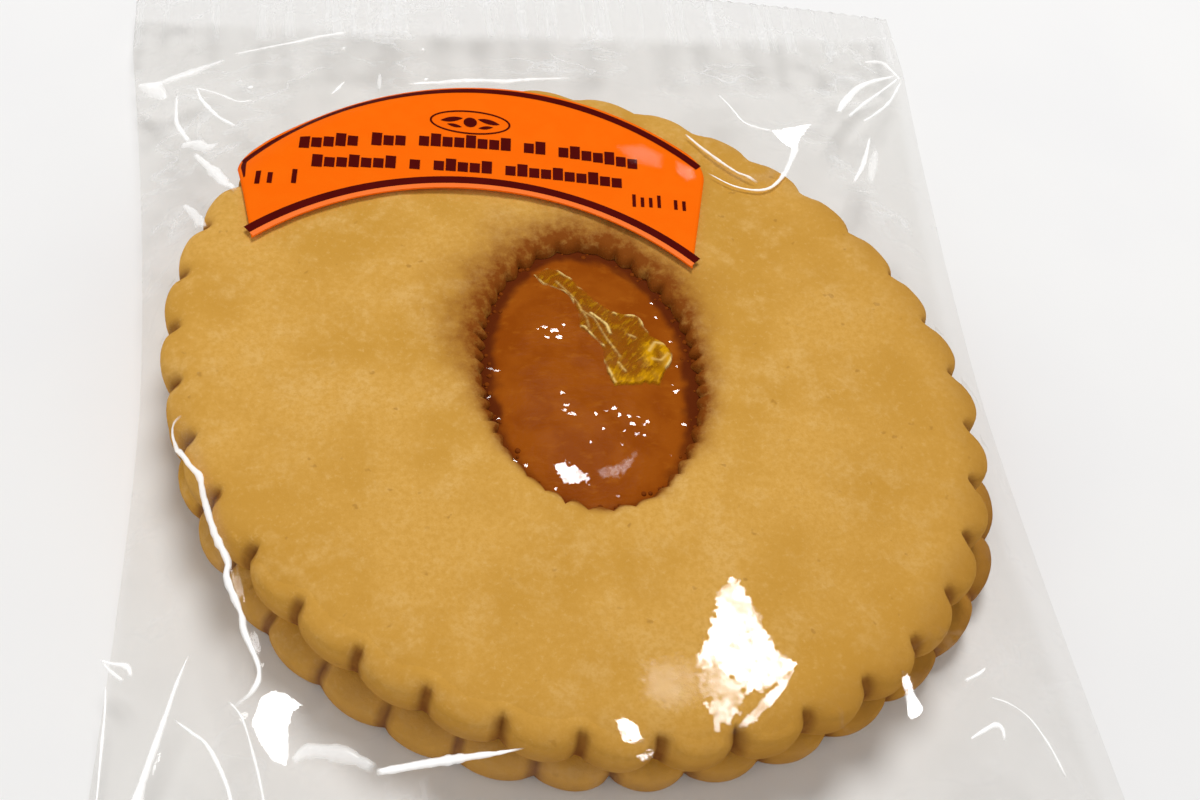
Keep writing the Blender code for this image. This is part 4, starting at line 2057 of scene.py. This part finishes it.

# Creases: points, width, height, and whiteness that is partly a painted highlight.
CREASES = (
    Crease(
        ((-49.6, -4.2), (-46.4, -11.8), (-44.2, -19.5), (-41.8, -29.2), (-39.5, -37.0), (-42.3, -41.1)),
        0.8,
        0.8,
        0.1,
    ),
    Crease(((43.4, 49.6), (47.1, 52.6), (51.3, 55.7), (56.5, 61.1)), 0.9, 0.7, 0.1),
    Crease(((-46.7, -34.1), (-48.8, -39.9), (-51.4, -49.0), (-53.0, -58.0)), 0.9, 0.6, 0.1),
    Crease(((-42.3, -40.4), (-39.3, -48.1), (-37.5, -58.0)), 0.8, 0.5, 0.1),
    Crease(((41.2, -44.5), (45.8, -46.9), (50.0, -53.0), (54.0, -60.0)), 0.9, 0.6, 0.1),
    Crease(((-51.6, 54.3), (-47.4, 48.2), (-46.2, 45.1)), 0.8, 0.5, 0.1),
    Crease(((19.5, 35.9), (23.6, 30.9), (27.9, 31.1), (33.5, 39.6), (37.5, 46.0)), 0.8, 0.4, 0.1),
)

# Folds painted as white highlights: points, widths at start, middle and end, and opacity.
FOLD_HIGHLIGHTS = (
    FoldHighlight(
        (
            (-48.1, -6.5), (-49.2, -7.7), (-47.3, -12.3), (-45.8, -14.8), (-45.5, -16.3), (-44.1, -21.5),
            (-42.6, -24.9), (-42.7, -26.8), (-41.1, -31.1), (-40.8, -32.8), (-39.2, -37.3),
            (-39.9, -39.7), (-42.3, -41.5),
        ),
        (0.3, 0.85, 0.45),
    ),
    FoldHighlight(((-27.3, -49.5), (-23.8, -49.0), (-20.7, -48.8), (-11.9, -48.3)), (0.6, 1.1, 0.1), 0.95),
    FoldHighlight(
        ((-35.8, -47.2), (-34.2, -46.3), (-31.9, -46.7), (-29.7, -47.6), (-27.3, -49.2)),
        (1.0, 2.1, 0.9),
        0.5,
    ),
    FoldHighlight(((-55.6, -35.7), (-55.5, -38.9), (-55.6, -42.3), (-55.8, -50.9)), (0.2, 0.35, 0.2), 0.8),
    FoldHighlight(
        ((-46.7, -34.1), (-47.9, -37.0), (-48.8, -39.9), (-50.6, -46.0), (-52.4, -53.0)),
        (0.15, 0.75, 1.3),
        0.85,
    ),
    FoldHighlight(
        ((-48.0, -41.0), (-46.2, -42.8), (-44.5, -44.8), (-42.2, -49.7), (-41.6, -55.0)),
        (0.2, 0.45, 0.3),
        0.85,
    ),
    FoldHighlight(
        ((-42.3, -40.4), (-41.0, -42.4), (-40.0, -45.3), (-38.8, -50.3), (-38.4, -54.0)),
        (0.2, 0.35, 0.25),
        0.75,
    ),
    FoldHighlight(((-56.3, -32.6), (-55.1, -33.1), (-53.4, -33.9), (-52.9, -35.2)), (0.2, 0.6, 0.5), 0.7),
    FoldHighlight(((-56.0, -33.0), (-55.0, -34.2), (-53.7, -35.5)), (0.2, 0.4, 0.4), 0.6),
    FoldHighlight(((43.6, 50.7), (46.3, 55.2), (50.2, 59.7), (56.7, 63.2)), (0.9, 1.0, 0.3), 0.8),
    FoldHighlight(((44.8, 49.6), (48.9, 53.9), (53.1, 58.3), (57.2, 63.0)), (0.4, 0.7, 0.3), 0.65),
    FoldHighlight(((47.2, 49.2), (50.4, 52.3), (53.6, 56.0), (57.2, 61.9)), (0.3, 0.5, 0.3), 0.7),
    FoldHighlight(((51.7, 65.5), (55.1, 65.6), (57.2, 62.2)), (0.3, 0.8, 0.3), 0.6),
    FoldHighlight(((25.4, 52.4), (26.6, 48.0), (28.4, 45.2), (32.3, 44.7)), (0.2, 0.45, 0.5), 0.7),
    FoldHighlight(
        ((19.7, 31.7), (23.0, 29.4), (26.6, 28.8), (29.3, 30.5), (32.1, 35.4), (35.0, 41.6)),
        (0.15, 0.5, 1.0),
        0.85,
    ),
    FoldHighlight(((17.6, 39.1), (20.3, 35.4), (22.9, 32.5), (26.3, 30.0)), (0.3, 0.5, 0.4), 0.7),
    FoldHighlight(((47.9, 46.5), (45.4, 40.5), (42.5, 35.6)), (0.3, 0.7, 0.3), 0.75),
    FoldHighlight(((48.5, 44.3), (45.6, 36.8)), (0.8, 1.5, 0.8), 0.35),
    FoldHighlight(((-57.0, 57.2), (-55.0, 55.6), (-53.4, 53.4), (-53.2, 52.5)), (0.4, 3.0, 0.5), 0.5),
    FoldHighlight(((-55.9, 56.4), (-52.8, 56.2), (-49.2, 58.4), (-45.0, 61.5)), (0.6, 1.7, 0.3), 0.5),
    FoldHighlight(((-43.9, 62.6), (-38.1, 63.9), (-32.4, 65.6), (-27.3, 66.7)), (0.3, 0.7, 0.5), 0.5),
    FoldHighlight(((-48.7, 53.5), (-47.7, 49.6), (-45.5, 45.9), (-42.8, 42.9)), (0.3, 0.6, 0.3), 0.75),
    FoldHighlight(((-48.7, 53.5), (-45.9, 52.0), (-43.0, 49.7), (-40.9, 49.9)), (0.3, 0.5, 0.3), 0.6),
    FoldHighlight(((-51.4, 52.4), (-51.4, 49.8), (-51.1, 47.3), (-49.2, 43.0)), (0.3, 0.6, 0.5), 0.7),
    FoldHighlight(((-50.5, 43.2), (-48.6, 42.6), (-46.9, 41.0), (-45.3, 41.0)), (0.6, 1.7, 0.6), 0.5),
    FoldHighlight(((-48.6, 40.8), (-46.6, 37.0), (-44.6, 32.7), (-42.6, 28.0)), (0.5, 1.4, 0.6), 0.6),
    FoldHighlight(((-49.4, 29.5), (-47.8, 26.4), (-46.2, 22.1)), (0.4, 1.2, 0.5), 0.5),
    FoldHighlight(((-30.3, 49.2), (-29.4, 50.3), (-28.4, 52.1)), (0.2, 0.6, 0.2), 0.7),
    FoldHighlight(((-41.8, 53.2), (-41.0, 54.1)), (0.3, 0.8, 0.3), 0.7),
    FoldHighlight(((-23.5, 54.5), (-23.7, 49.9)), (0.4, 0.7, 0.3), 0.4),
    FoldHighlight(((-19.6, 50.8), (-15.0, 51.3), (-6.8, 51.8), (4.1, 53.8)), (0.6, 1.4, 0.4), 0.6),
    FoldHighlight(((-28.6, 62.9), (-28.0, 62.8)), (0.5, 0.8, 0.5), 0.7),
    FoldHighlight(((-17.2, 62.2), (-16.7, 62.2)), (0.5, 0.8, 0.5), 0.7),
    FoldHighlight(((-17.4, 52.4), (-16.8, 52.0)), (0.6, 1.0, 0.6), 0.8),
    FoldHighlight(((41.6, -40.9), (40.4, -41.8), (38.5, -42.6)), (0.2, 0.4, 0.3), 0.8),
    FoldHighlight(
        ((41.2, -44.5), (43.8, -45.4), (45.8, -46.9), (47.3, -49.4), (49.2, -53.3)),
        (0.15, 0.3, 0.2),
        0.8,
    ),
    FoldHighlight(
        ((38.2, -48.8), (39.8, -48.0), (41.5, -47.3), (42.3, -47.8), (42.4, -49.0)),
        (0.2, 0.6, 0.3),
        0.85,
    ),
)

FACETS = (
    Facet(
        (
            (12.8, -30.3), (13.7, -31.3), (14.5, -33.2), (15.2, -36.5), (16.5, -39.7), (18.3, -41.5),
            (16.4, -43.2), (13.9, -44.1), (12.5, -43.6), (11.2, -42.7), (10.0, -41.5), (7.6, -40.1),
            (9.3, -37.2), (10.7, -33.3), (11.9, -31.1),
        ),
        edge=0.9,
        ragged=0.5,
    ),
    Facet(
        (
            (7.7, -39.8), (10.3, -41.1), (13.0, -43.3), (11.6, -45.4), (9.8, -47.1), (8.5, -47.8),
            (8.0, -45.6), (7.5, -43.3), (6.9, -40.6),
        ),
        strength=0.42,
        edge=0.9,
        ragged=1.3,
    ),
    Facet(
        (
            (18.5, -41.4), (15.8, -45.0), (13.0, -47.2), (10.4, -48.5), (10.0, -48.1), (12.3, -46.6),
            (14.7, -44.2), (16.7, -42.6),
        ),
        strength=0.6,
        edge=0.3,
        ragged=0.2,
    ),
    Facet(
        (
            (1.6, -40.8), (4.6, -40.2), (6.9, -40.3), (7.7, -42.5), (7.1, -44.6), (3.9, -45.4),
            (1.5, -44.0),
        ),
        strength=0.09,
        edge=2.2,
        ragged=0.7,
    ),
    Facet(
        (
            (-2.3, -46.5), (-1.2, -46.4), (-0.1, -47.2), (0.5, -48.8), (1.2, -50.3), (0.3, -50.4),
            (-1.7, -48.5),
        ),
        edge=0.4,
    ),
    Facet(((1.2, -48.9), (1.7, -49.3), (1.5, -50.0), (0.5, -49.5)), edge=0.3),
    Facet(
        (
            (30.6, -41.7), (31.5, -42.0), (32.3, -44.5), (33.0, -45.5), (32.4, -46.4), (31.1, -46.7),
            (30.9, -44.7),
        ),
        edge=0.35,
    ),
    Facet(
        (
            (-38.9, -40.5), (-37.5, -39.8), (-36.2, -40.4), (-34.7, -41.6), (-35.8, -42.2),
            (-36.2, -44.0), (-36.4, -47.4), (-37.7, -46.9), (-38.9, -45.2), (-40.0, -43.2),
        ),
        edge=0.4,
    ),
    Facet(((32.1, 44.9), (35.1, 46.1), (38.7, 47.5), (35.9, 43.3), (34.2, 39.6), (33.2, 41.0)), edge=0.4),
)

LABEL_FACETS = (
    Facet(((8.0, 36.0), (11.0, 36.4), (13.5, 34.6), (13.0, 32.6), (9.5, 33.6)), strength=0.05, edge=1.5),
    Facet(((15.6, 33.4), (17.4, 32.2), (17.6, 30.6), (16.4, 30.2), (15.4, 31.6)), strength=0.1, edge=0.8),
)

JAM_FACETS = (
    Facet(
        (
            (-5.6, -13.6), (-4.2, -13.2), (-3.6, -14.0), (-2.4, -14.4), (-1.4, -15.4), (-1.9, -16.3),
            (-3.4, -16.0), (-4.6, -15.9), (-4.9, -14.9),
        ),
        edge=0.3,
        ragged=0.45,
    ),
    Facet(
        (
            (-0.4, -14.6), (1.6, -14.2), (3.6, -13.0), (4.6, -12.0), (4.0, -13.4), (2.2, -15.2),
            (0.2, -15.5),
        ),
        strength=0.12,
        edge=0.6,
        ragged=0.4,
    ),
)

JAM_SPARKLES = (
    (-4.6, 4.9, 0.38), (-3.7, 6.1, 0.42), (-3.2, 5.0, 0.36), (-4.9, 6.6, 0.3), (-5.6, 6.3, 0.22),
    (-2.4, 6.9, 0.26), (-3.6, -3.6, 0.26), (-3.2, -5.4, 0.34), (-2.8, -6.7, 0.42), (-3.5, -6.1, 0.26),
    (0.2, -6.7, 0.28), (1.4, -6.3, 0.26), (2.4, -6.0, 0.34), (3.0, -6.9, 0.26), (4.1, -7.1, 0.28),
    (4.4, -8.2, 0.34), (5.3, -7.2, 0.26), (5.7, -8.3, 0.3), (6.3, -7.9, 0.22), (4.9, -9.5, 0.26),
    (5.7, -9.7, 0.24), (-1.0, -10.7, 0.3), (2.7, -11.1, 0.32), (0.9, -8.9, 0.2), (3.4, -9.2, 0.2),
    (10.6, -3.1, 0.5), (10.1, -2.2, 0.22), (11.2, 0.6, 0.2), (-10.2, -12.6, 0.5), (-8.8, -13.4, 0.24),
    (-12.0, 0.8, 0.4), (-11.2, 0.2, 0.26), (-12.4, -3.4, 0.26), (-11.6, -6.6, 0.3), (-12.0, -8.9, 0.24),
    (-11.6, 10.6, 0.3), (-10.9, 12.4, 0.24), (9.6, 8.4, 0.28), (11.0, 4.6, 0.24), (9.4, 10.8, 0.2),
    (10.9, -8.0, 0.24), (8.6, -12.4, 0.22), (-5.6, -16.6, 0.2), (1.6, -17.9, 0.2),
)


def main() -> None:
    """Build every sub-assembly in order."""
    logging.basicConfig(level=logging.INFO, format="%(message)s")
    low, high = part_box("bag")
    oval = Oval()
    form = FilmForm(oval, (high.x - low.x) / MM, (high.y - low.y) / MM)

    baked = BakedFinish("shortbread").material()
    base_baked = BakedFinish("shortbread_base", crumb=(0.80, 0.42, 0.060)).material()
    base_oval = replace(oval, long=103.5, short=94.0, drift=(0.0,), bulges=BASE_BULGES)
    top = BiscuitRound("biscuit_top", replace(oval, bulges=TOP_BULGES), 7.5, 14.3)
    base = BiscuitRound("biscuit_base", base_oval, 0.3, 7.0, BASE_SHIFT, -math.radians(3.6), windowed=False)
    wet = JamFinish().material()
    jam = Jam(oval)
    contents = [
        top.build(baked),
        base.build(base_baked),
        jam.build(wet),
        JamLayer(oval).build(wet),
        PeelStrip(jam).build(PeelFinish().material()),
        JamBeads(jam).build(wet),
    ]

    stage = Stage()
    towards = (stage.lamp_place, Vector(stage.camera_place))
    shine = FacetFinish().material()
    bag = FilmBag(form, base_oval, BASE_SHIFT, CREASES)
    film = [
        bag.build(FilmFinish().material(), UnderFilmFinish().material()),
        FoldHighlights(bag, FOLD_HIGHLIGHTS).build(FoldHighlightFinish().material()),
        Facets("film_facets", bag.over, *towards, FACETS).build(shine),
        Facets("label_facets", bag.over, *towards, LABEL_FACETS, lift=0.4).build(shine),
    ]
    wet_facets = JAM_FACETS + sparkles(JAM_SPARKLES, 5)
    glints = Facets("jam_facets", jam.height, *towards, wet_facets, cell=0.10, lift=0.05)
    contents.append(glints.build(shine))

    label = Label(LabelForm(form))
    orange = PlainFinish("label_orange", (1.0, 0.150, 0.002), (1.0, 0.165, 0.003), 0.55)
    maroon = PlainFinish("label_ink", (0.080, 0.003, 0.002), (0.10, 0.004, 0.003), 0.5)
    peach = PlainFinish("label_line", (1.0, 0.20, 0.035), (1.0, 0.22, 0.05), 0.5)
    sheets = [label.sheet(orange.material()), *label.print_on(maroon.material(), peach.material())]

    for piece in contents + film:
        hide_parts("bag")
    for piece in sheets:
        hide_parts("label")

    stage.build()


if __name__ == "__main__":
    main()
